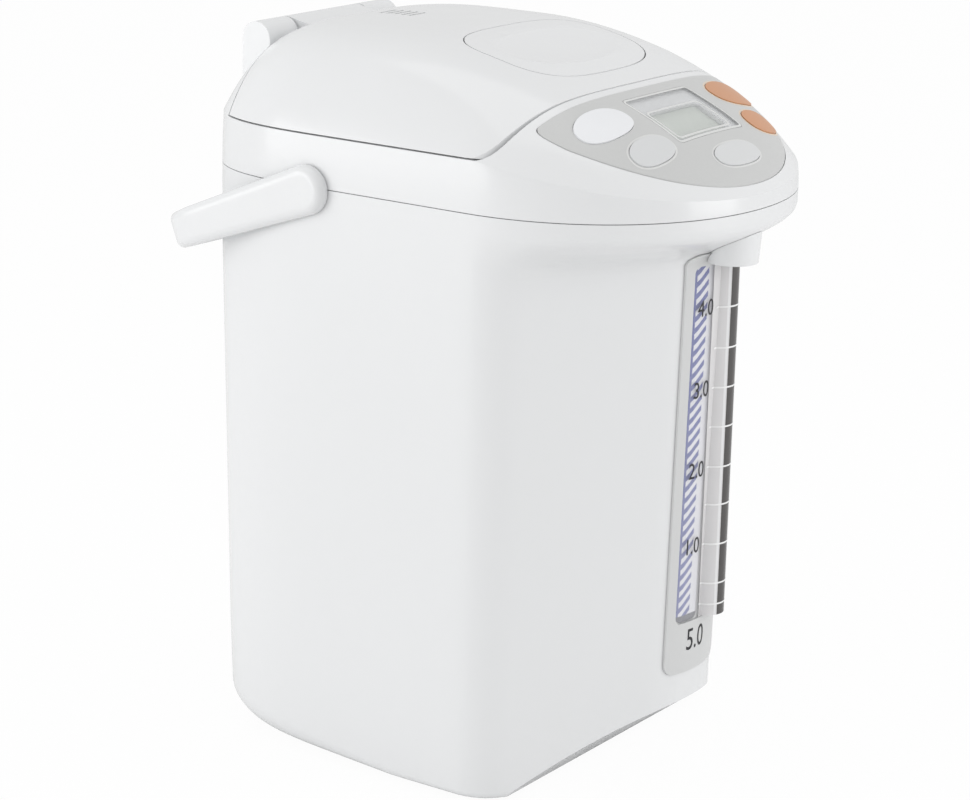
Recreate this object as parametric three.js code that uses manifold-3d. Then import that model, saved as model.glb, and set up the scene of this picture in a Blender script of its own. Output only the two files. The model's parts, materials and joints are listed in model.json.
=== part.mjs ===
// Electric thermo pot: millimetres, +Z up, the beak faces -Y.
// The origin is on the table under the swivel axis.
import * as THREE from 'three';
import { mergeVertices } from 'three/addons/utils/BufferGeometryUtils.js';
import Module from 'manifold-3d';

const wasm = await Module();
wasm.setup();

// Housing
const halfWidth = 103;
const beakReach = 155;
const beakStart = 56;
const rearReach = 120;
const rearStart = 20;
const rearLean = 8;
const noseLean = 3.5;
const noseRadius = 55;
const cornerRadius = 28;
const flankReach = 117.7;
const flankTurn = THREE.MathUtils.degToRad(33.5);
const seamHeight = 287;
const seamGap = 0.4;
const beakRootHeight = 250;
const bodyBottom = 2.2;
const frontEdgeRadius = 4;
const rearEdgeRadius = 20;
const edgeStart = -20;
const edgeEnd = 85;
const housingWall = 3;
const planMiddle = -18;

// Underside under the nose
const toeStart = 76;
const toeRise = 1.075;
const toeSettle = 0.00585;
const toeLength = 62;

// Domed top
const rimHeight = 312;
const rimDrop = 18;
const rimInset = 0.6;
const crownHeight = 355.9;
const brinkHeight = 345;
const noseCrownDrop = 34;
const crownStart = 10;
const sideBulge = 0.15;

// Lid
const lidFront = 81;
const lidCornerSet = 14;
const lidCornerRound = 7;
const lidRear = 91.5;
const lidGap = 0.8;
const lidCornerGap = 2.4;
const lidWall = 2.6;
const lidFrontWall = 2.4;
const lidFrontDepth = 9;
const deckHeight = 295;
const deckThickness = 3;
const deckHoleRadius = 82.7;
const lipDepth = 6;
const lipWall = 2;
const lipFront = 50;

// Lid inside
const linerHeight = 304.5;
const linerThickness = 2.5;
const linerInset = 4.8;
const linerSetback = 4.4;
const linerCornerGap = 12;
const linerWall = 2;
const linerTop = 322;
const linerRear = 88.7;
const innerLidRadius = 76;
const innerLidBottom = 294.5;
const innerLidTop = 303.4;
const innerLidWall = 2;
const gasketRadius = 81.6;
const gasketThickness = 6;
const ductY = 55;
const ductRadius = 7.4;
const ductWall = 1.6;
const ductTop = 346;
const ventCount = 5;
const ventPitch = 4.4;
const ventHalfLength = 7;
const ventWidth = 1.8;

// Release plate and latch
const plateCentreY = -36;
const plateHalfWidth = 52;
const plateHalfDepth = 32;
const plateThickness = 5;
const plateGap = 0.6;
const pocketDepth = 9.5;
const pocketWall = 2.4;
const dishHalfWidth = 44;
const dishHalfDepth = 25;
const dishDepth = 2.2;
const dishTurn = THREE.MathUtils.degToRad(14);
const trunnionY = -10;
const trunnionDepth = 4.4;
const trunnionRadius = 1.5;
const trunnionReach = 42.4;
const latchHalfWidth = 10;
const latchLength = 20;
const latchHeight = 5;
const latchNose = 68.4;

// Lid hinge
const hingeY = 105;
const hingeZ = 343.5;
const barrelRadius = 8.5;
const barrelHalfWidth = 29;
const coverHalfWidth = 53;
const coverGap = 1;
const pinRadius = 2;
const pinReach = 35;
const tongueDepth = 10;
const tongueBack = 5;

// Carrying bail
const pivotY = 30;
const bailDrop = THREE.MathUtils.degToRad(21.3);
const armHeight = 24;
const armStart = 8.5;
const armThickness = 5.8;
const armGap = 0.6;
const barHeight = 18;
const barInner = 108.6;
const barThickness = 7;
const barRadius = 260;
const barCorner = 18;
const studRadius = 6.5;
const studFlangeRadius = 7.6;
const studFlange = 2;

// Control panel
const panelTilt = THREE.MathUtils.degToRad(27);
const panelY = -108;
const panelZ = 320;
const lensHalfWidth = 88;
const lensDepth = 94.5;
const lensSetback = 4.3;
const lensThickness = 1.2;
const lensProud = 0.2;
const buttonProud = 1.1;
const buttonDepth = 5.2;
const buttonFlange = 1.4;
const buttonTravel = 0.8;
const buttonGap = 0.5;
const buttonHoleDepth = 12;
const postRadius = 2;
const postTop = -0.5;
const windowProud = 0.15;
const windowCorner = 3;
const windowBox = [-28.5, -16.1, 28.5, 20.5];
const screenBox = [-25, -12.6, 19, 7.1];
const screenTop = 2.7;
const screenDepth = 5.7;
const boardTop = -11.6;
const boardThickness = 1.6;
const boardHalfWidth = 60;
const boardRear = 17;
const boardFront = -23.5;
const boardTabLeft = 10.5;
const boardTabRight = 20;
const boardTabFront = -38.5;
const switchSize = 6;
const switchHeight = 3.1;

// Buttons: middle across, middle up the slope, half width, half height, post offset
const buttons = {
  reboil: [-55.5, 10.4, 17.6, 10, 0],
  timer: [-47.5, -13.4, 13.6, 8, 0],
  temp_set: [1.5, -30.8, 18.2, 6.8, 14],
  dispense: [57, 10.2, 18, 10, 0],
  unlock: [50.5, -13.2, 13.8, 8.2, 0],
};

// Water gauge
const gaugeHalfWidth = 22.3;
const gaugeTop = 264;
const gaugeBottom = 54;
const gaugeCorner = 6;
const gaugeThickness = 1;
const gaugeLeft = -17;
const gaugeRight = 20;
const gaugeWindowTop = 257;
const gaugeWindowBottom = 80;
const gaugeWindowCorner = 3;
const stripLeft = -15.5;
const stripRight = -1;
const stripThickness = 0.8;
const tubeX = 9.5;
const tubeY = -117;
const tubeRadius = 5.5;
const tubeWall = 1;
const tubeBottom = 70;
const tubeTop = 254;
const slotHalfWidth = 7.2;
const coverRadius = 9;
const coverWall = 1.3;
const coverCentreY = -126.8;
const coverEndGap = 1;

// Nozzle
const nozzleY = -138;
const nozzleRadius = 12.5;
const nozzleRootRadius = 14.5;
const nozzleWall = 2;
const nozzleBottom = 259;
const spoutRadius = 5;
const spoutWall = 1.3;
const spoutBottom = 264.5;
const spoutTop = 281;
const gooseRadius = 3.8;
const gooseBend = 8;

// Water vessel and heater
const vesselY = 9.5;
const vesselRadius = 81;
const vesselWall = 1;
const vesselBottom = 46;
const vesselCorner = 8;
const flangeRadius = 87;
const flangeHeight = 290.3;
const flangeThickness = 1.2;
const sleeveGap = 1;
const sleeveWall = 3;
const sleeveBottom = 60;
const sleeveTop = 280;
const heaterRadius = 50;
const heaterThickness = 3.2;
const thermostatX = -20;
const thermostatY = 26;
const thermostatRadius = 9;
const thermostatHeight = 8;

// Pump
const pumpX = 24;
const pumpY = -40;
const pumpRadius = 19;
const pumpTop = 38;
const pumpWall = 2;
const pumpFloor = 18.8;
const pumpCoverThickness = 1.8;
const motorRadius = 13;
const motorBottom = 9;
const impellerRadius = 14;
const impellerHub = 5;
const bladeCount = 6;
const bladeThickness = 1.6;
const bladeHeight = 7;
const pipeRadius = 4.5;
const pipeWall = 1.2;
const inletTop = 52;
const strainerRadius = 12;
const strainerTop = 56;
const strainerWall = 1.2;
const strainerSlots = 6;
const strainerSlotWidth = 2;
const outletZ = 29;

// Power board and inlet
const boardY = 101;
const powerHalfWidth = 40;
const powerBottom = 70;
const powerTop = 150;
const bossRadius = 3.5;
const bossInset = 6;
const relayHalfWidth = 12;
const relayHeight = 28;
const relayDepth = 8;
const inletHalfWidth = 17;
const inletLow = 37;
const inletHigh = 63;
const inletFront = 100;
const inletWall = 3;
const inletPinX = 7;
const inletPinRadius = 2;
const inletPinFront = 97;
const inletPinRear = 112;

// Base
const padRadius = 62;
const padThickness = 1.2;
const baseRadius = 66;
const baseTop = 5.2;
const baseEdge = 1;
const hubRadius = 8;
const hubTop = 10.6;
const panGap = 2.5;
const panWall = 2.5;
const panFloor = 6;
const panThickness = 2.4;
const bottomThickness = 2.4;
const washerRadius = 14;
const washerThickness = 1.4;

// Clearance shared by all pieces, how far a cutter runs past them, smallest detail kept
const gap = 0.3;
const past = 6;
const fineness = 0.02;

// Fineness and shapes, as counts and shares
const roundSides = 32;
const smallSides = 12;
const beakSteps = 12;
const rearSteps = 8;
const denseSteps = 90;
const beakShare = 2.1;
const rearShare = 3.3;
const crownShare = 5.5;
const cornerShare = 5;
const roundShare = 40;
const plateShare = 3;
const buttonShare = 2.3;
const flareFromShare = 0.25;
const flareToShare = 0.8;
const flareShares = [0, 0.25, 0.4, 0.52, 0.65, 0.8, 1];
const edgeShares = [0, 0.35, 0.7, 1];
const crownShares = [1, 0.94, 0.85, 0.72, 0.54, 0.3, 0.04];

// Colours of the pieces
const looks = {
  white: { color: 0xf3f3f1, roughness: 0.3, metalness: 0 },
  softWhite: { color: 0xe9e9e6, roughness: 0.45, metalness: 0 },
  silver: { color: 0xc4c4c2, roughness: 0.35, metalness: 0.2 },
  orange: { color: 0xd9924e, roughness: 0.4, metalness: 0 },
  button: { color: 0xe6e6e4, roughness: 0.4, metalness: 0 },
  screen: { color: 0xa9aea4, roughness: 0.25, metalness: 0 },
  clear: { color: 0xdfe6ea, roughness: 0.08, metalness: 0 },
  steel: { color: 0xb9bcc0, roughness: 0.25, metalness: 0.9 },
  rubber: { color: 0x3a3a3c, roughness: 0.8, metalness: 0 },
  silicone: { color: 0xd8d6cf, roughness: 0.6, metalness: 0 },
  board: { color: 0x2f6b45, roughness: 0.5, metalness: 0 },
  dark: { color: 0x2b2b2d, roughness: 0.5, metalness: 0 },
  brass: { color: 0xc2a45a, roughness: 0.3, metalness: 0.9 },
  foam: { color: 0xcfd2d6, roughness: 0.9, metalness: 0 },
};

// A closed solid from any closed geometry, turned to face outward
function solid(geometry) {
  const plain = geometry.clone();
  for (const name of Object.keys(plain.attributes)) if (name !== 'position') plain.deleteAttribute(name);
  const welded = mergeVertices(plain);
  const points = welded.attributes.position;
  const index = welded.index.array;
  const corners = [];
  let volume = 0;
  const [a, b, c] = [new THREE.Vector3(), new THREE.Vector3(), new THREE.Vector3()];
  for (let k = 0; k < index.length; k += 3) {
    const [i, j, m] = [index[k], index[k + 1], index[k + 2]];
    if (i === j || j === m || m === i) continue;
    corners.push([i, j, m]);
    a.fromBufferAttribute(points, i);
    volume += a.dot(b.fromBufferAttribute(points, j).cross(c.fromBufferAttribute(points, m)));
  }
  const faces = volume < 0 ? corners.map(([i, j, m]) => [m, j, i]) : corners;
  return new wasm.Manifold(new wasm.Mesh({
    numProp: 3,
    vertProperties: new Float32Array(points.array),
    triVerts: new Uint32Array(faces.flat()),
  }));
}

function geometryOf(body) {
  const mesh = body.simplify(fineness).getMesh();
  const geometry = new THREE.BufferGeometry();
  geometry.setAttribute('position', new THREE.BufferAttribute(new Float32Array(mesh.vertProperties), 3));
  geometry.setIndex(new THREE.BufferAttribute(new Uint32Array(mesh.triVerts), 1));
  geometry.computeVertexNormals();
  return geometry;
}

const joined = (list) => list.reduce((sum, next) => sum.add(next));

// A closed solid through rings of equal length, each the same on the left and right, from the lowest up
function loft(rings) {
  const count = rings[0].length;
  const faces = [];
  for (let level = 0; level + 1 < rings.length; level += 1) {
    for (let i = 0; i < count; i += 1) {
      const low = level * count;
      const [a, b] = [low + i, low + ((i + 1) % count)];
      faces.push([a, b, b + count], [a, b + count, a + count]);
    }
  }
  const close = (level, up) => {
    const at = (i) => level * count + (i % count);
    for (let i = 0; i < count / 2; i += 1) {
      const [near, far] = [at(count - i), at(count - i - 1)];
      for (const [p, q, r] of [[at(i), at(i + 1), far], [at(i), far, near]]) {
        if (p !== q && q !== r && r !== p) faces.push(up ? [p, q, r] : [p, r, q]);
      }
    }
  };
  close(0, false);
  close(rings.length - 1, true);
  const geometry = new THREE.BufferGeometry();
  geometry.setAttribute('position', new THREE.Float32BufferAttribute(rings.flat(2), 3));
  geometry.setIndex(faces.flat());
  return solid(geometry);
}

// An outline drawn out between two heights
function drawn(outline, low, high) {
  const shape = outline instanceof THREE.Shape
    ? outline
    : new THREE.Shape(outline.map((p) => new THREE.Vector2(...p)));
  const options = { depth: high - low, bevelEnabled: false, curveSegments: 3 };
  return new THREE.ExtrudeGeometry(shape, options).translate(0, 0, low);
}

function prism(outline, low, high) {
  return solid(drawn(outline, low, high));
}

// An outline in x and z drawn out along y
function frontPrism(outline, front, rear) {
  return solid(drawn(outline, -rear, -front).rotateX(Math.PI / 2));
}

// An outline in y and z drawn out along x
function sidePrism(outline, left, right) {
  return solid(drawn(outline, left, right).rotateY(Math.PI / 2).rotateX(Math.PI / 2));
}

// An outline on the tilted panel drawn out along its normal
function panelPrism(outline, low, high) {
  return solid(drawn(outline, low, high).rotateX(panelTilt).translate(0, panelY, panelZ));
}

function block(low, high) {
  const [dx, dy, dz] = low.map((value, k) => high[k] - value);
  return solid(new THREE.BoxGeometry(dx, dy, dz).translate(low[0] + dx / 2, low[1] + dy / 2, low[2] + dz / 2));
}

function turned(profile, x = 0, y = 0, sides = roundSides) {
  const geometry = new THREE.LatheGeometry(profile.map((p) => new THREE.Vector2(...p)), sides);
  return solid(geometry.rotateX(Math.PI / 2).translate(x, y, 0));
}

function post(radius, low, high, x = 0, y = 0, sides = smallSides) {
  return turned([[0, low], [radius, low], [radius, high], [0, high]], x, y, sides);
}

function tubeAlong(outer, inner, low, high, x = 0, y = 0, sides = smallSides) {
  return turned([[inner, low], [outer, low], [outer, high], [inner, high], [inner, low]], x, y, sides);
}

// A rod along x
function crossRod(radius, left, right, y, z, sides = smallSides) {
  const geometry = new THREE.CylinderGeometry(radius, radius, right - left, sides);
  return solid(geometry.rotateZ(Math.PI / 2).translate((left + right) / 2, y, z));
}

// A rod along y
function deepRod(radius, front, rear, x, z, sides = smallSides) {
  const geometry = new THREE.CylinderGeometry(radius, radius, rear - front, sides);
  return solid(geometry.translate(x, (front + rear) / 2, z));
}

// A round pipe with a bore, bent through the given points
function pipe(points, outer, inner, steps) {
  const path = new THREE.CatmullRomCurve3(points.map((p) => new THREE.Vector3(...p)), false, 'centripetal');
  const circle = (radius) => oval(0, 0, radius, radius, 2, smallSides).map((p) => new THREE.Vector2(...p));
  const shape = new THREE.Shape(circle(outer));
  shape.holes.push(new THREE.Path(circle(inner)));
  return solid(new THREE.ExtrudeGeometry(shape, { steps, extrudePath: path, bevelEnabled: false }));
}

function oval(x, y, halfX, halfY, share, count = 32) {
  const outline = [];
  for (let i = 0; i < count; i += 1) {
    const angle = (i / count) * 2 * Math.PI;
    const across = Math.sign(Math.cos(angle)) * Math.abs(Math.cos(angle)) ** (2 / share);
    const along = Math.sign(Math.sin(angle)) * Math.abs(Math.sin(angle)) ** (2 / share);
    outline.push([x + halfX * across, y + halfY * along]);
  }
  return outline;
}

function roundedBox([left, low, right, high], radius, grow = 0) {
  const [l, b, r, t, c] = [left - grow, low - grow, right + grow, high + grow, radius + grow];
  const shape = new THREE.Shape();
  shape.moveTo(l + c, b);
  shape.absarc(r - c, b + c, c, -Math.PI / 2, 0, false);
  shape.absarc(r - c, t - c, c, 0, Math.PI / 2, false);
  shape.absarc(l + c, t - c, c, Math.PI / 2, Math.PI, false);
  shape.absarc(l + c, b + c, c, Math.PI, 1.5 * Math.PI, false);
  return shape;
}

// Plan outlines, anticlockwise from the nose
function mirrored(half) {
  return half.concat(half.slice(1, -1).reverse().map(([x, y]) => [-x, y]));
}

function rearArc(inset, steps) {
  const [wide, deep] = [halfWidth - inset, rearReach - rearStart - inset];
  return Array.from({ length: steps + 1 }, (_, i) => {
    const angle = ((i / steps) * Math.PI) / 2;
    const across = wide * Math.max(0, Math.cos(angle)) ** (2 / rearShare);
    return [across, rearStart + deep * Math.sin(angle) ** (2 / rearShare)];
  });
}

function seamOutline(inset, frontSteps, backSteps) {
  const [wide, deep] = [halfWidth - inset, beakReach - beakStart - inset];
  const half = Array.from({ length: frontSteps + 1 }, (_, i) => {
    const angle = ((i / frontSteps) * Math.PI) / 2;
    const ahead = deep * Math.max(0, Math.cos(angle)) ** (2 / beakShare);
    return [wide * Math.sin(angle) ** (2 / beakShare), -beakStart - ahead];
  });
  for (const share of [0.35, 0.7]) half.push([wide, -beakStart + (rearStart + beakStart) * share]);
  return mirrored([...half, ...rearArc(inset, backSteps)]);
}

// The lower wall: a round nose, straight flanks and round corners
function wallOutline(inset, steps) {
  const noseY = (flankReach - noseRadius) / Math.cos(flankTurn);
  const cornerX = halfWidth - cornerRadius;
  const cornerY = (flankReach - cornerRadius - cornerX * Math.sin(flankTurn)) / Math.cos(flankTurn);
  const half = [];
  for (let i = 0; i <= steps; i += 1) {
    const angle = (i / steps) * flankTurn;
    const radius = noseRadius - inset;
    half.push([radius * Math.sin(angle), -noseY - radius * Math.cos(angle)]);
  }
  for (let i = 0; i <= steps; i += 1) {
    const angle = flankTurn + (i / steps) * (Math.PI / 2 - flankTurn);
    const radius = cornerRadius - inset;
    half.push([cornerX + radius * Math.sin(angle), -cornerY - radius * Math.cos(angle)]);
  }
  return mirrored([...half, ...rearArc(inset, steps)]);
}

// Every ring of the housing lies on the same rays, so that rings can be joined
const turnOf = (x, y) => (Math.atan2(x, planMiddle - y) + 2 * Math.PI) % (2 * Math.PI);
const rays = seamOutline(0, beakSteps, rearSteps).map(([x, y]) => turnOf(x, y));

function onRays(outline) {
  const turns = outline.map(([x, y]) => turnOf(x, y));
  let k = 0;
  return rays.map((ray) => {
    while (k + 1 < turns.length && turns[k + 1] <= ray) k += 1;
    const [p, q] = [outline[k], outline[(k + 1) % outline.length]];
    const side = ([x, y]) => x * Math.cos(ray) + (y - planMiddle) * Math.sin(ray);
    const [near, far] = [side(p), side(q)];
    const share = near === far ? 0 : near / (near - far);
    return [p[0] + (q[0] - p[0]) * share, p[1] + (q[1] - p[1]) * share];
  });
}

const seamRing = (inset) => onRays(seamOutline(inset, denseSteps, denseSteps));

function wallRing(inset, z) {
  const depth = Math.max(0, (beakRootHeight - z) / (beakRootHeight - bodyBottom));
  return onRays(wallOutline(inset, denseSteps)).map(([x, y]) => {
    const rear = Math.max(0, y - rearStart) / (rearReach - rearStart);
    const nose = Math.max(0, -beakStart - y) / (flankReach - beakStart);
    return [x, y + (noseLean * nose - rearLean * rear) * depth, z];
  });
}

// A ring on the rounded lower edge, whose radius grows towards the rear
function edgeRing(inset, share) {
  const angle = (share * Math.PI) / 2;
  const outer = wallRing(inset, bodyBottom);
  const inner = wallRing(inset + rearEdgeRadius, bodyBottom);
  return outer.map(([x, y], i) => {
    const along = Math.min(1, Math.max(0, (y - edgeStart) / (edgeEnd - edgeStart)));
    const radius = frontEdgeRadius + (rearEdgeRadius - frontEdgeRadius) * along;
    const pull = (radius / rearEdgeRadius) * (1 - Math.sin(angle));
    const [innerX, innerY] = inner[i];
    return [x + (innerX - x) * pull, y + (innerY - y) * pull, bodyBottom + radius * (1 - Math.cos(angle))];
  });
}

// The lower housing: upright walls that flare out under the beak up to the seam
const bodyTop = seamHeight - seamGap / 2;

function bodyForm(inset, low = bodyBottom, high = bodyTop) {
  const rings = [];
  if (low < bodyBottom) rings.push(edgeRing(inset, 0).map(([x, y]) => [x, y, low]));
  for (const share of edgeShares) rings.push(edgeRing(inset, share));
  const wall = wallRing(inset, beakRootHeight);
  const seam = seamRing(inset);
  for (const share of flareShares) {
    const flare = THREE.MathUtils.smoothstep(share, flareFromShare, flareToShare);
    const z = beakRootHeight + (bodyTop - beakRootHeight) * share;
    rings.push(wall.map(([x, y], i) => [x + (seam[i][0] - x) * flare, y + (seam[i][1] - y) * flare, z]));
  }
  if (high > bodyTop) rings.push(seam.map(([x, y]) => [x, y, high]));
  return loft(rings);
}

// The space below the raised nose, moved by an offset along its surface
function toeForm(offset) {
  const shift = offset * Math.SQRT1_2;
  const steps = 10;
  const outline = [];
  for (let i = 0; i <= steps; i += 1) {
    const run = (i / steps) * toeLength;
    outline.push([-toeStart + shift - run, shift + run * toeRise - run * run * toeSettle]);
  }
  const [, last] = outline[steps];
  outline.push([-beakReach - past, last], [-beakReach - past, -past], [-toeStart + shift, -past]);
  return sidePrism(outline, -halfWidth - past, halfWidth + past);
}

// The domed top over the seam
const topFloor = seamHeight + seamGap / 2;
const rimReach = beakReach - rimInset - beakStart;
const rimAt = (y) => rimHeight - (rimDrop * Math.max(0, -beakStart - y)) / rimReach;

function crownAt(y) {
  if (y > crownStart) return crownHeight;
  const share = (crownStart - y) / (crownStart + beakStart);
  if (y > -beakStart) return crownHeight - (crownHeight - brinkHeight) * share * share;
  return brinkHeight - (noseCrownDrop * (-beakStart - y)) / rimReach;
}

function upperForm(inset, floor = topFloor) {
  const seam = seamRing(inset);
  const rim = seamRing(inset + rimInset);
  const rings = [seam.map(([x, y]) => [x, y, floor])];
  const bulge = sideBulge / rimInset;
  rings.push(seam.map(([x, y], i) => [
    x + (rim[i][0] - x) * bulge,
    y + (rim[i][1] - y) * bulge,
    (seamHeight + rimAt(rim[i][1])) / 2 - inset,
  ]));
  for (const share of crownShares) {
    rings.push(rim.map(([x, y]) => {
      const flat = Math.min(Math.max(y, -beakStart), rearStart);
      const along = flat + (y - flat) * share;
      const rise = 1 - share ** crownShare;
      return [x * share, along, rimAt(along) + (crownAt(along) - rimAt(along)) * rise - inset];
    }));
  }
  return loft(rings);
}

// The space under a surface that lies so far below the top, deep at its foot
const under = (depth) => upperForm(depth, topFloor - past - 2 * depth);

// Front edge of the lid, seen from above
const edgeShare = (x) => Math.min(1, Math.abs(x) / (halfWidth - rimInset)) ** cornerShare;
const roundAt = (x) => Math.min(1, Math.abs(x) / (halfWidth - rimInset)) ** roundShare;
const lidLine = (x) => -lidFront + lidCornerSet * edgeShare(x) + lidCornerRound * roundAt(x);

function behindLine(shift, cornerShift, low, high, rear = lidRear) {
  const wide = halfWidth + past;
  const steps = 22;
  const outline = [];
  for (let i = 0; i <= steps; i += 1) {
    const x = -wide * Math.cos((i / steps) * Math.PI);
    outline.push([x, lidLine(x) + shift + cornerShift * edgeShare(x)]);
  }
  outline.push([wide, rear], [-wide, rear]);
  return prism(outline, low, high);
}

// Lens of the control panel, seen from above
function lensOutline(grow) {
  const [wide, deep] = [lensHalfWidth + grow, lensDepth + grow];
  const front = (x) => -beakStart - deep * (1 - (Math.abs(x) / wide) ** beakShare) ** (1 / beakShare);
  const rear = (x) => lidLine(x) - lensSetback + grow;
  let [tip, far] = [wide / 2, wide];
  for (let i = 0; i < 40; i += 1) {
    const middle = (tip + far) / 2;
    if (front(middle) < rear(middle)) tip = middle;
    else far = middle;
  }
  const steps = 20;
  const across = Array.from({ length: steps + 1 }, (_, i) => -tip * Math.cos((i / steps) * Math.PI));
  const back = across.slice(1, -1).reverse().map((x) => [x, rear(x)]);
  return [...across.map((x) => [x, front(x)]), ...back];
}

const lensPrism = (grow) => prism(lensOutline(grow), seamHeight, crownHeight + past);
const releasePrism = (grow) => prism(
  oval(0, plateCentreY, plateHalfWidth + grow, plateHalfDepth + grow, plateShare, 32),
  rimHeight,
  crownHeight + past,
);
const buttonPrism = ([u, v, wide, deep], grow) =>
  panelPrism(oval(u, v, wide + grow, deep + grow, buttonShare, 20), -buttonHoleDepth, past + past);

function pivotBores(radius, near, far) {
  return joined([-1, 1].map((side) => {
    const [left, right] = side < 0 ? [-far, -near] : [near, far];
    return crossRod(radius, left, right, pivotY, seamHeight, 24);
  }));
}

// Lower housing
const frontEnd = -beakReach - past;
const gaugeFrame = [-gaugeHalfWidth, gaugeBottom, gaugeHalfWidth, gaugeTop];
const gaugeWindow = [gaugeLeft, gaugeWindowBottom, gaugeRight, gaugeWindowTop];
const gaugeBand = [stripLeft, gaugeWindowBottom, stripRight, gaugeWindowTop];
const inletFrame = [-inletHalfWidth, inletLow, inletHalfWidth, inletHigh];

function bodyShell() {
  const hollow = bodyForm(housingWall, -past, seamHeight + past).subtract(toeForm(housingWall));
  let shell = bodyForm(0).subtract(toeForm(0)).subtract(hollow);
  const recess = frontPrism(roundedBox(gaugeBand, gaugeWindowCorner, gap), frontEnd, 0)
    .subtract(bodyForm(stripThickness + gap));
  const slot = roundedBox([
    tubeX - slotHalfWidth,
    gaugeWindowBottom + gaugeWindowCorner,
    tubeX + slotHalfWidth,
    gaugeWindowTop - gaugeWindowCorner,
  ], gaugeWindowCorner);
  shell = shell.subtract(recess).subtract(frontPrism(slot, frontEnd, tubeY));
  shell = shell.subtract(post(spoutRadius + gap, beakRootHeight, seamHeight, 0, nozzleY));
  shell = shell.subtract(frontPrism(roundedBox(inletFrame, inletWall, gap), inletFront, rearReach + past));
  shell = shell.subtract(pivotBores(studRadius + gap, halfWidth - housingWall - past, halfWidth + past));
  const inner = bodyForm(housingWall / 2);
  for (const x of [bossInset - powerHalfWidth, powerHalfWidth - bossInset]) {
    for (const z of [powerBottom + bossInset, powerTop - bossInset]) {
      const rod = deepRod(bossRadius, boardY + boardThickness + gap, rearReach, x, z, 12);
      shell = shell.add(rod.intersect(inner));
    }
  }
  return shell;
}

// Upper housing with the deck, the lid recess and the panel bed
function shoulder() {
  const wide = halfWidth + past;
  const high = crownHeight + past;
  const deckTop = deckHeight + deckThickness;
  const rearFace = lidRear + lidGap;
  let shell = upperForm(0).subtract(under(housingWall));
  shell = shell.subtract(behindLine(0, 0, rimHeight - seamGap, high, rearFace));
  shell = shell.subtract(lensPrism(gap).subtract(upperForm(lensThickness - lensProud + gap)));
  for (const button of Object.values(buttons)) shell = shell.subtract(buttonPrism(button, buttonGap));
  shell = shell.subtract(panelPrism(roundedBox(screenBox, windowCorner, gap), -housingWall, past + past));
  const deck = behindLine(-housingWall, 0, deckHeight, deckTop, rearReach);
  const frontWall = behindLine(-housingWall, 0, deckHeight, high)
    .subtract(behindLine(0, 0, deckHeight - past, high + past, rearReach));
  const rearWall = block([-wide, rearFace, deckHeight], [wide, rearFace + housingWall, high]);
  shell = shell.add(joined([deck, frontWall, rearWall]).intersect(upperForm(housingWall / 2)));
  shell = shell.subtract(post(deckHoleRadius, deckHeight - past, deckTop + gap, 0, vesselY, 36));
  const lip = prism(seamRing(housingWall / 2), topFloor, topFloor + lipWall + gap)
    .add(prism(seamRing(housingWall + gap), topFloor - lipDepth, topFloor + lipWall))
    .subtract(prism(seamRing(housingWall + gap + lipWall), topFloor - lipDepth - past, topFloor + past))
    .subtract(block([-wide, frontEnd, topFloor - lipDepth - past], [wide, -lipFront, topFloor + past]));
  shell = shell.add(lip);
  const latch = block([-latchHalfWidth - gap, -lidFront - housingWall - gap, linerHeight],
    [latchHalfWidth + gap, -lidFront + past, linerHeight + linerThickness + latchHeight + gap + gap]);
  const tongue = block([-barrelHalfWidth - gap, lidRear - past, hingeZ - barrelRadius - gap],
    [barrelHalfWidth + gap, hingeY, high]);
  const barrel = crossRod(barrelRadius + gap + gap, -barrelHalfWidth - gap, barrelHalfWidth + gap, hingeY, hingeZ, 28);
  shell = shell.subtract(joined([latch, tongue, barrel]));
  return shell.subtract(pivotBores(studRadius + gap, halfWidth - housingWall - past, halfWidth + past));
}

function hingeCover(side) {
  const [near, far] = [barrelHalfWidth + coverGap, coverHalfWidth];
  const [left, right] = side < 0 ? [-far, -near] : [near, far];
  const skirt = block([left, hingeY - barrelRadius, rimHeight], [right, hingeY + barrelRadius, hingeZ]);
  return crossRod(barrelRadius, left, right, hingeY, hingeZ, 28)
    .add(skirt)
    .subtract(upperForm(-gap))
    .subtract(crossRod(pinRadius + gap, -pinReach - gap, pinReach + gap, hingeY, hingeZ));
}

// Lid with the pocket of the release plate and the hinge tongue
const trunnionZ = crownAt(trunnionY) - trunnionDepth;

function lidShell() {
  const low = rimHeight + seamGap;
  const high = crownHeight + past;
  const region = behindLine(lidGap, lidCornerGap, low, high);
  const wall = region.subtract(
    behindLine(lidGap + lidFrontWall, lidCornerGap, low - past, high + past, lidRear - lidFrontWall),
  );
  let lid = upperForm(0).subtract(under(lidWall)).intersect(region);
  lid = lid.add(upperForm(lidWall / 2).subtract(under(lidFrontDepth)).intersect(wall));
  const cup = releasePrism(pocketWall).intersect(upperForm(lidWall / 2)).subtract(under(pocketDepth + pocketWall));
  lid = lid.add(cup).subtract(releasePrism(0).subtract(under(pocketDepth)));
  const tongue = sidePrism([
    [lidRear - tongueBack, hingeZ + barrelRadius - tongueDepth - coverGap],
    [hingeY, hingeZ - barrelRadius],
    [hingeY, hingeZ + barrelRadius],
    [lidRear - tongueBack, hingeZ + tongueBack],
  ], -barrelHalfWidth, barrelHalfWidth);
  lid = lid.add(tongue).add(crossRod(barrelRadius, -barrelHalfWidth, barrelHalfWidth, hingeY, hingeZ, 28));
  lid = lid.subtract(crossRod(pinRadius + gap, -halfWidth, halfWidth, hingeY, hingeZ));
  for (let i = 0; i < ventCount; i += 1) {
    const y = ductY + (i - (ventCount - 1) / 2) * ventPitch;
    lid = lid.subtract(block([-ventHalfLength, y - ventWidth / 2, ductTop], [ventHalfLength, y + ventWidth / 2, high]));
  }
  const reach = trunnionReach + gap;
  return lid.subtract(crossRod(trunnionRadius + gap, -reach, reach, trunnionY, trunnionZ, 12));
}

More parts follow.
